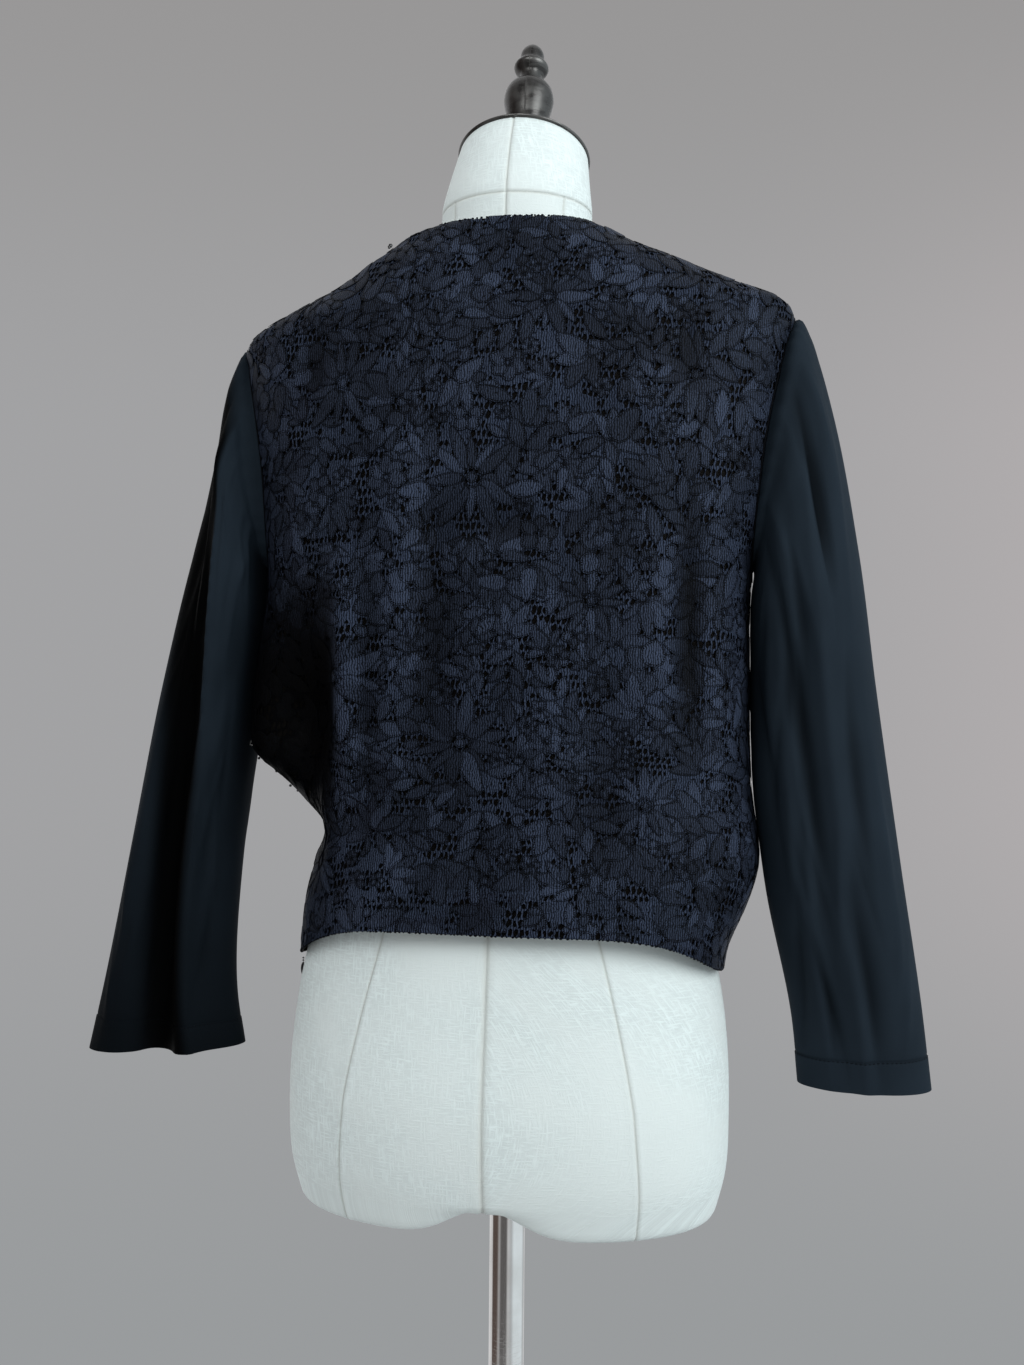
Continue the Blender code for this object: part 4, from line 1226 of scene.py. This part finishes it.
def armhole_ring(side, columns):
    """Points and normals round one armhole, from the shoulder down the back and up the front."""
    turn = np.linspace(0, 2 * math.pi, columns, endpoint=False)
    middle, half = (SHOULDER_Z + UNDERARM_Z) / 2, (SHOULDER_Z - UNDERARM_Z) / 2
    z = middle + half * np.cos(turn)
    angle = np.array([armhole_angle(one) for one in z])
    angle = side * np.where(np.sin(turn) >= 0, angle, math.pi - angle)
    points, normals = body_point(angle, z), body_normal(angle, z)
    return points + normals * crease_height(points)[:, None], normals


def sleeve_ring(section, side, columns):
    """One section of a sleeve; across runs from 1 at the outer edge to -1 at the inner one."""
    outer_x, outer_z, inner_x, inner_z, half_depth = section
    slack = min(1.0, max(0.0, (1.25 - outer_z) / 0.35)) if side > 0 else 0.0
    turn = np.linspace(0, 2 * math.pi, columns, endpoint=False)
    across, y = np.cos(turn), half_depth * np.sin(turn)
    for height, middle, reach in (LEFT_RIDGE, LEFT_TROUGH):
        y = y + np.where(np.sin(turn) > 0, slack * height * hill(across, middle, reach), 0.0)
    x = (outer_x + inner_x + across * (outer_x - inner_x)) / 2
    z = (outer_z + inner_z + across * (outer_z - inner_z)) / 2
    return np.stack([side * x, y, z], -1)


def small_wrinkles(side):
    """Seeded fine wrinkles, most of them on the back of the sleeve."""
    draw = random.Random(7 + side)
    return [
        (draw.choice((1, 1, -1)), draw.choice((-1, 1)) * draw.uniform(0.0009, 0.0026),
         draw.uniform(-0.8, 0.8), draw.uniform(0.04, 0.09), draw.uniform(0.08, 0.95),
         draw.uniform(0.04, 0.13), draw.uniform(-1.6, 1.6))
        for _ in range(70)
    ]


def make_sleeve(name, side, sections, creases):
    """A sleeve's mesh, its outer skin's points, the length down to each row and its widest girth."""
    seam, seam_normals = armhole_ring(side, SLEEVE_COLUMNS)
    tangents = np.roll(seam, -1, axis=0) - np.roll(seam, 1, axis=0)
    away = side * np.cross(tangents, seam_normals)
    away /= np.linalg.norm(away, axis=1, keepdims=True)
    rings = [seam + SEAM_GAP * away, seam + SLEEVE_EASE * away]
    rings += [sleeve_ring(section, side, SLEEVE_COLUMNS) for section in sections]
    far = [np.linalg.norm(after - before, axis=1).mean() for before, after in zip(rings, rings[1:])]
    keys = np.concatenate([[0], np.cumsum(far)])
    hem = 1 - (SLEEVE_HEM + np.array([-0.0018, -0.0010, -0.0004, 0.0004, 0.0010, 0.0018])) / keys[-1]
    keys /= keys[-1]
    rows = [(key, *ring.ravel()) for key, ring in zip(keys, rings)]
    down = [np.linspace(0, keys[1], 4), np.linspace(keys[1], keys[4], 18), np.linspace(keys[4], 0.998, 112)]
    down = np.unique(np.round(np.concatenate([*down, hem, [1.0]]), 5))
    grid = smooth_table(rows)(down).reshape(len(down), SLEEVE_COLUMNS, 3)
    around = np.roll(grid, -1, axis=1) - np.roll(grid, 1, axis=1)
    normals = np.cross(np.gradient(grid, axis=0), around) * side
    normals /= np.linalg.norm(normals, axis=2, keepdims=True)
    ease = np.clip(down / keys[1], 0, 1)[:, None, None]
    normals = normals * ease + seam_normals * (1 - ease)
    normals /= np.linalg.norm(normals, axis=2, keepdims=True)
    turn = np.linspace(0, 2 * math.pi, SLEEVE_COLUMNS, endpoint=False)
    across, facing = np.cos(turn), np.sin(turn)
    level, fall = across[None, :], down[:, None]
    lift = np.zeros(grid.shape[:2])
    for face, height, mid, reach, mid_down, reach_down, slope in (
        [(*crease, 0.0) for crease in creases] + small_wrinkles(side)
    ):
        shown = np.clip(face * facing * 4, 0, 1)[None, :]
        line = mid + slope * (fall - mid_down)
        ridge = np.exp(-np.abs((level - line) / reach) ** 1.5)
        lift += height * shown * ridge * hill(down, mid_down, reach_down)[:, None]
    if side > 0:
        # The pressed fold: a crisp edge with a deep valley on its outer side.
        crisp = np.interp(down, *FOLD_EDGE)[:, None]
        valley = np.interp(down, *FOLD_VALLEY)[:, None]
        fading = np.clip((down - 0.06) / 0.14, 0, 1)[:, None] * np.clip(facing * 5, 0, 1)[None, :]
        lift += 0.0050 * fading * np.exp(-np.abs(level - crisp + 0.04) / 0.10)
        lift -= 0.0070 * fading * hill(level, (crisp + valley) / 2, (valley - crisp) * 0.42)
    lift += 0.0006 * hill(level, -1.0, 0.10)
    lift += np.interp(down, *SLEEVE_LEAN[side])[:, None] * hill(level, -1.0, 0.25)
    lift *= np.clip(fall / 0.05, 0, 1)
    # The gathered head of the sleeve puckers a little along its seam.
    pucker = 0.0004 * np.sin(turn * 34 + 2 * np.sin(turn * 3))
    lift += pucker[None, :] * hill(fall, 0.020, 0.014)
    # Painted shade in the crease troughs and painted highlight on the crease ridges.
    shade = np.clip(-lift / 0.0060, -0.28, 0.72)
    if side > 0:
        # Painted shadow: the valley and the edge beside the body are painted dark, and painted light and
        # shade make the sleeve lighter near its shoulder and darker towards its cuff.
        behind = np.clip(facing * 4, 0, 1)[None, :]
        inward = 0.62 * behind * np.clip((0.75 - fall) / 0.25, 0, 1)
        shadow_band = behind * np.clip((fall - 0.015) / 0.05, 0, 1)
        shadow_band = shadow_band * ease_off(crisp - level, 0.018) * ease_off(level - valley, 0.06)
        shade = np.maximum(shade, inward * ease_off(level + 0.80, 0.05))
        shade = np.maximum(shade, 0.985 * shadow_band)
        shade = 1 - (1 - shade) * np.maximum(0.2, 1.22 - 1.02 * fall)
    grid = grid + normals * lift[..., None]
    steps = np.linalg.norm(np.diff(grid, axis=0), axis=2).mean(axis=1)
    length = np.concatenate([[0], np.cumsum(steps)])
    above = length[-1] - length - SLEEVE_HEM
    # Painted shade along the hem's fold line.
    shade = np.maximum(shade, 0.35 * hill(above, 0.0, 0.0012)[:, None])
    swell = (0.0004 * ease_off(above, 0.0006) - 0.0005 * hill(above, 0.0, 0.0011))[:, None, None]
    girth = np.linalg.norm(np.roll(grid, -1, axis=1) - grid, axis=2)
    places = np.concatenate([np.zeros((len(down), 1)), np.cumsum(girth, axis=1)[:, :-1]], axis=1)
    places = np.stack([places, np.repeat(length[:, None], SLEEVE_COLUMNS, 1)], -1)
    skins = [grid + normals * SLEEVE_DEPTHS[0], grid + normals * (SLEEVE_DEPTHS[1] + swell)]
    if side < 0:
        skins = [skin[:, ::-1] for skin in skins]
        places, shade = places[:, ::-1], shade[:, ::-1]
    mesh = two_skins(name, skins, places, 1 - shade, True)
    outer = grid + normals * (SLEEVE_DEPTHS[1] + 0.0001)
    return mesh, outer, length, float(girth.sum(axis=1).max())


def make_crepe():
    finish, tree, shader = finish_named("black_crepe", Roughness=0.72, Specular_IOR_Level=0.03)
    place = cloth_map(tree)
    threads = placed(
        tree, WEAVE, Place=place, Thread_Pitch=0.00045, Slub_Length=0.018, Slub_Width=0.0008
    )
    grain = add(tree, "TexNoise", {"Vector": place, "Scale": 1300.0, "Detail": 2.0}).outputs[0]
    # The tone attribute holds painted shade in the folds, the painted shadows and the hem line, and painted
    # highlight on the ridges.
    tone = add(tree, "Attribute", attribute_name="tone").outputs["Fac"]
    uneven = maths(tree, "MULTIPLY_ADD", threads.outputs["Tone"], 0.7, 0.45)
    uneven = maths(tree, "MULTIPLY", uneven, maths(tree, "MULTIPLY_ADD", grain, 0.6, 0.7))
    level = maths(tree, "MULTIPLY", tone, maths(tree, "MULTIPLY", uneven, 0.60))
    colour = blend(tree, level, (0.0003, 0.0004, 0.0005, 1), (0.0290, 0.0440, 0.0620, 1))
    tree.links.new(colour, shader.inputs["Base Color"])
    relief = maths(tree, "ADD", threads.outputs["Height"], grain)
    tree.links.new(bump(tree, relief, 0.00006, 0.7), shader.inputs["Normal"])
    return finish


def sewn(name, parts, finish):
    """Many small parts of one finish as one piece."""
    points, faces, maps, tones_and_shading = joined(parts)
    return put(name, surface(name, points, faces, maps=maps), finish)


def stitches(name, line, normals, size, pitch, finish):
    """A row of short sewn stitches lying along a closed line of points."""
    ends = np.roll(line, -1, axis=0)
    steps = np.linalg.norm(ends - line, axis=1)
    far = np.concatenate([[0], np.cumsum(steps)])
    loop = np.concatenate([line, line[:1]])
    parts = []
    for start in np.arange(0, far[-1] - pitch, pitch):
        places = np.array([start, start + pitch * 0.31, start + pitch * 0.62])
        points = np.stack([np.interp(places, far, loop[:, i]) for i in range(3)], -1)
        nearest = min(int(np.searchsorted(far, start)), len(normals) - 1)
        out = normals[nearest]
        ahead = points[2] - points[0]
        ahead /= np.linalg.norm(ahead)
        aside = np.cross(out, ahead)
        made = []
        for point, rise, wide in zip(points, (0.1, 1.0, 0.1), (0.5, 1.0, 0.5)):
            for turn in range(6):
                angle = 2 * math.pi * turn / 6
                up = 0.6 * (rise + wide * math.sin(angle))
                made.append(point + size * (wide * math.cos(angle) * aside + up * out))
        faces = grid_faces(3, 6, True).tolist()
        faces += [list(range(5, -1, -1)), list(range(12, 18))]
        made = np.array(made)
        parts.append({"points": made, "faces": faces, "map": made[:, :2]})
    return sewn(name, parts, finish)


CREPE = make_crepe()
for name, side, sections, creases in (
    ("sleeve_left", 1, LEFT_SLEEVE, LEFT_CREASES),
    ("sleeve_right", -1, RIGHT_SLEEVE, RIGHT_CREASES),
):
    mesh, outer, length, girth = make_sleeve(name + "_crepe", side, sections, creases)
    sleeve = put(name + "_crepe", mesh, CREPE, [name])
    row = int(np.argmin(np.abs(length[-1] - length - SLEEVE_HEM + 0.001)))
    line = outer[row]
    middle = line.mean(axis=0)
    outward = (line - middle) / np.linalg.norm(line - middle, axis=1, keepdims=True)
    hem_row = stitches(name + "_hem_stitches", line, outward, 0.00035, 0.0034, CORD)
    area = mesh_area(mesh) / 2
    flat = (round(girth, 3), round(max(float(length[-1]), area / girth) * 1.001, 3))


# Trimmings: cut glass beads and sequins sewn on the fronts, and a drop bead at the left side's hem.
# Little thread picots stand along the lace's free edges, and a cord covers each armhole seam.


def ball(place, radius, tall=1.0, sides=8):
    """A small round bead, as a part that can be joined to others."""
    rows = np.linspace(0, math.pi, sides // 2 + 1)[1:-1]
    turn = np.linspace(0, 2 * math.pi, sides, endpoint=False)
    points = [place + radius * np.array([0, 0, tall])]
    for row in rows:
        ring = np.stack([np.cos(turn) * math.sin(row), np.sin(turn) * math.sin(row)], -1) * radius
        points += [place + np.array([x, y, radius * tall * math.cos(row)]) for x, y in ring]
    points.append(place - radius * np.array([0, 0, tall]))
    last = len(points) - 1
    faces = [[0, 1 + i, 1 + (i + 1) % sides] for i in range(sides)]
    faces += (grid_faces(len(rows), sides, True)[:, ::-1] + 1).tolist()
    faces = [face[::-1] if len(face) == 4 else face for face in faces]
    low = last - sides
    faces += [[last, low + (i + 1) % sides, low + i] for i in range(sides)]
    points = np.array(points)
    return {"points": points, "faces": faces, "map": points[:, [0, 2]]}


def sequin(place, normal, radius, sides=10):
    """A flat faceted disc with a small hole, tipped a little away from the cloth."""
    first = np.cross(normal, [0.3, 0.2, 0.9])
    first /= np.linalg.norm(first)
    second = np.cross(normal, first)
    turn = np.linspace(0, 2 * math.pi, sides, endpoint=False)
    round_it = np.cos(turn)[:, None] * first + np.sin(turn)[:, None] * second
    points = np.concatenate([
        place + round_it * radius, place + round_it * radius * 0.55 + normal * radius * 0.22,
        place + round_it * radius * 0.14 + normal * radius * 0.16,
    ])
    return {"points": points, "faces": grid_faces(3, sides, True).tolist(), "map": points[:, [0, 2]]}


def make_trimming(name, colour, roughness, metallic, coat):
    finish, tree, shader = finish_named(name, Metallic=metallic, Coat_Weight=coat)
    marks = placed(tree, WEAR, Place=cloth_map(tree), Smudge_Size=0.004, Scratch_Size=0.0004)
    dull = tuple(part * 0.6 for part in colour) + (1,)
    tree.links.new(blend(tree, marks.outputs["Smudge"], (*colour, 1), dull), shader.inputs["Base Color"])
    rough = maths(tree, "MULTIPLY_ADD", marks.outputs["Scratch"], 0.15, roughness)
    tree.links.new(rough, shader.inputs["Roughness"])
    return finish


JET = make_trimming("jet_glass_bead", (0.004, 0.004, 0.005), 0.12, 0.0, 0.5)
FOIL = make_trimming("black_sequin", (0.060, 0.065, 0.075), 0.22, 0.8, 0.0)
SILVER = make_trimming("silver_sequin", (0.62, 0.62, 0.60), 0.20, 0.9, 0.0)


draw = random.Random(17)
beads, foils = [], []
for which in ("left", "right"):
    cloth = CLOTHS[which]
    for x, y in BLOOMS[which]:
        for ring, count in ((0.0, 1), (0.005, 6), (0.011, 9)):
            for i in range(count):
                turn = 2 * math.pi * (i + 0.3 * ring / 0.005) / count
                spot = np.array([[x + ring * math.cos(turn), y + ring * math.sin(turn)]])
                if not 0.02 < cloth.inside(spot)[0] < 0.98:
                    continue
                foot, on_foil, on_bead, far = (cloth.at(spot, lift)[0][0] for lift in (0, 0.0036, 0.0045, 1))
                if ring == 0.005:
                    foils.append(sequin(on_foil, (far - foot) / np.linalg.norm(far - foot), 0.0022))
                else:
                    beads.append(ball(on_bead, draw.uniform(0.0009, 0.0013)))


def on_side(x_sign, z, back_share, lift):
    """A point on the blouse near a side seam, this share of a quarter turn towards the back."""
    angle = x_sign * np.array([math.pi / 2 * (1 - back_share)])
    height = np.array([z])
    point, normal = body_point(angle, height), body_normal(angle, height)
    return (point + normal * (crease_height(point)[:, None] + lift))[0]


for z, back, radius in (
    (1.016, 0.02, 0.0016), (1.004, 0.05, 0.0013), (0.997, 0.01, 0.0015), (0.987, 0.03, 0.0016),
    (0.979, 0.06, 0.0012), (0.972, 0.02, 0.0016), (0.963, 0.04, 0.0012), (0.954, 0.01, 0.0015),
    (1.000, 0.12, 0.0013), (0.990, 0.16, 0.0012), (0.968, 0.14, 0.0012),
):
    beads.append(ball(on_side(1, z, back, 0.0038), radius))
beads += [ball(on_side(1, 1.400, 0.30, 0.0052), 0.0017), ball(on_side(1, 1.398, 0.33, 0.0050), 0.0014)]
drop_top = np.array([0.1680, 0.0120, 0.8270])
beads += [ball(drop_top + [0, 0, -0.002 - 0.0020 * i], 0.0009) for i in range(2)]
beads.append(ball(drop_top + [0, 0, -0.0105], 0.0021, 2.6, 12))
sewn("jet_beads", beads, JET)
sewn("black_sequins", foils, FOIL)
pale = sequin(on_side(1, 1.000, 0.10, 0.0034), np.array([0.35, 0.92, 0.15]), 0.0024)
sewn("silver_sequin", [pale], SILVER)

picots = []
for which, cloth in CLOTHS.items():
    rows, columns = cloth.grid.shape[:2]
    lines = [(cloth.grid[-1], cloth.normals[-1]), (cloth.grid[0], cloth.normals[0])]
    if which != "back":
        inner = -1 if which == "left" else 0
        lines.append((cloth.grid[:, inner], cloth.normals[:, inner]))
    for line, normals in lines:
        steps = np.concatenate([[0], np.cumsum(np.linalg.norm(np.diff(line, axis=0), axis=1))])
        far = 0.001
        while far < steps[-1]:
            place = np.array([np.interp(far, steps, line[:, i] + normals[:, i] * 0.0018) for i in range(3)])
            picots.append(ball(place, draw.uniform(0.0007, 0.0013), 0.8, 6))
            far += draw.uniform(0.0022, 0.0052)
sewn("lace_picots", picots, CORD)

seams = []
for side in (1, -1):
    ring, normals = armhole_ring(side, 120)
    ring = ring + normals * 0.0024
    tangent = np.roll(ring, -1, axis=0) - np.roll(ring, 1, axis=0)
    tangent /= np.linalg.norm(tangent, axis=1, keepdims=True)
    aside = np.cross(tangent, normals)
    turn = np.linspace(0, 2 * math.pi, 6, endpoint=False)
    tube = ring[:, None] + 0.0008 * (
        np.cos(turn)[None, :, None] * aside[:, None] + np.sin(turn)[None, :, None] * normals[:, None]
    )
    closed = np.concatenate([tube, tube[:1]])
    faces = grid_faces(121, 6, True)
    flat = closed.reshape(-1, 3)
    seams.append({"points": flat, "faces": faces[:, :: side].tolist(), "map": flat[:, [0, 2]]})
sewn("armhole_cords", seams, CORD)


# Floor, studio lights and camera. The floor is a plain pale disc.
# Soft light comes from high on the wearer's right, so the left side stays in shadow.

FLOOR_RADIUS = 1.0
turn = np.linspace(0, 2 * math.pi, 96, endpoint=False)
floor_points = np.stack([FLOOR_RADIUS * np.sin(turn), FLOOR_RADIUS * np.cos(turn), np.zeros(96)], -1)
floor_mesh = surface("studio_floor", floor_points, [list(range(95, -1, -1))], smooth=False)
floor = bpy.data.objects.new("studio_floor", floor_mesh)
bpy.context.scene.collection.objects.link(floor)
floor_mesh.materials.append(finish_named("pale_floor", Base_Color=(0.55, 0.55, 0.55, 1), Roughness=0.8)[0])

world = bpy.data.worlds.new("studio_wall")
world.use_nodes = True
sky = world.node_tree
toward = add(sky, "SeparateXYZ", {0: add(sky, "TexCoord").outputs["Generated"]})
east, north, up = (toward.outputs[i] for i in range(3))
# The wall behind, painted with light and shade: greyer on the left, warmer and lighter on the right, darker
# above and below.
seen = blend(sky, ramp(sky, east, 0.10, -0.34), (0.362, 0.362, 0.370, 1), (0.455, 0.428, 0.432, 1))
seen = blend(sky, ramp(sky, up, -0.05, -0.45), seen, (0.318, 0.330, 0.338, 1))
seen = blend(sky, ramp(sky, up, 0.15, 0.48), seen, (0.312, 0.306, 0.306, 1))
# The room that lights the object: bright on both sides, with a dark stretch behind the camera.
room = blend(sky, ramp(sky, east, 0.15, -0.75), (0.78, 0.78, 0.79, 1), (0.54, 0.58, 0.60, 1))
behind = maths(sky, "MULTIPLY", ramp(sky, east, 0.78, 0.42), ramp(sky, east, -0.30, -0.05))
behind = maths(sky, "MULTIPLY", behind, ramp(sky, north, 0.0, 0.2))
room = blend(sky, maths(sky, "MULTIPLY", behind, 0.85), room, (0.030, 0.024, 0.022, 1))
# Polished metal mirrors a dark doorway on the left and a bright window on the right.
rays = add(sky, "LightPath")
mirrored = maths(sky, "MULTIPLY", ramp(sky, east, 0.55, 0.80), ramp(sky, north, -0.25, -0.05))
mirrored = blend(sky, mirrored, room, (0.115, 0.085, 0.075, 1))
mirrored = blend(sky, ramp(sky, east, -0.55, -0.80), mirrored, (0.90, 1.00, 1.05, 1))
room = blend(sky, rays.outputs["Is Glossy Ray"], room, mirrored)
sky.links.new(blend(sky, rays.outputs["Is Camera Ray"], room, seen), sky.nodes["Background"].inputs["Color"])
bpy.context.scene.world = world
bpy.context.scene.view_settings.view_transform = "Standard"


def studio_light(name, place, aim, size, power, colour=(1, 1, 1)):
    lamp = bpy.data.lights.new(name, "AREA")
    lamp.shape = "RECTANGLE"
    lamp.size, lamp.size_y = size
    lamp.energy = power
    lamp.color = colour
    holder = bpy.data.objects.new(name, lamp)
    holder.location = place
    holder.rotation_euler = (Vector(aim) - Vector(place)).to_track_quat("-Z", "Y").to_euler()
    bpy.context.scene.collection.objects.link(holder)


studio_light("window_light", (-1.9, 1.3, 2.2), (0.0, 0.0, 1.1), (1.4, 1.8), 42, (0.95, 0.99, 1.0))
studio_light("room_light", (0.3, 2.2, 2.6), (0.0, 0.0, 1.0), (1.6, 1.2), 20, (0.97, 1.0, 1.0))

CAMERA_DISTANCE = 1.12
CAMERA_HEIGHT = 1.05
CAMERA_TURN = math.radians(10)
CAMERA_ROLL = math.radians(0.5)
FOCAL_SHARE = 1400 / 1365  # focal length over the picture's long side
SENSOR = 36.0
ahead = Vector((math.sin(CAMERA_TURN), -math.cos(CAMERA_TURN), 0.0))
level = Vector((-math.cos(CAMERA_TURN), -math.sin(CAMERA_TURN), 0.0))
upright = Vector((0.0, 0.0, 1.0))
right = level * math.cos(CAMERA_ROLL) + upright * math.sin(CAMERA_ROLL)
above = upright * math.cos(CAMERA_ROLL) - level * math.sin(CAMERA_ROLL)
lens = bpy.data.cameras.new("studio_camera")
lens.sensor_width = SENSOR
lens.lens = SENSOR * FOCAL_SHARE
lens.clip_start = 0.05
camera = bpy.data.objects.new("studio_camera", lens)
where = Vector((0.0, 0.0, CAMERA_HEIGHT)) - ahead * CAMERA_DISTANCE
turned_to = Matrix((right, above, -ahead)).transposed()
camera.matrix_world = Matrix.Translation(where) @ turned_to.to_4x4()
bpy.context.scene.collection.objects.link(camera)
bpy.context.scene.camera = camera
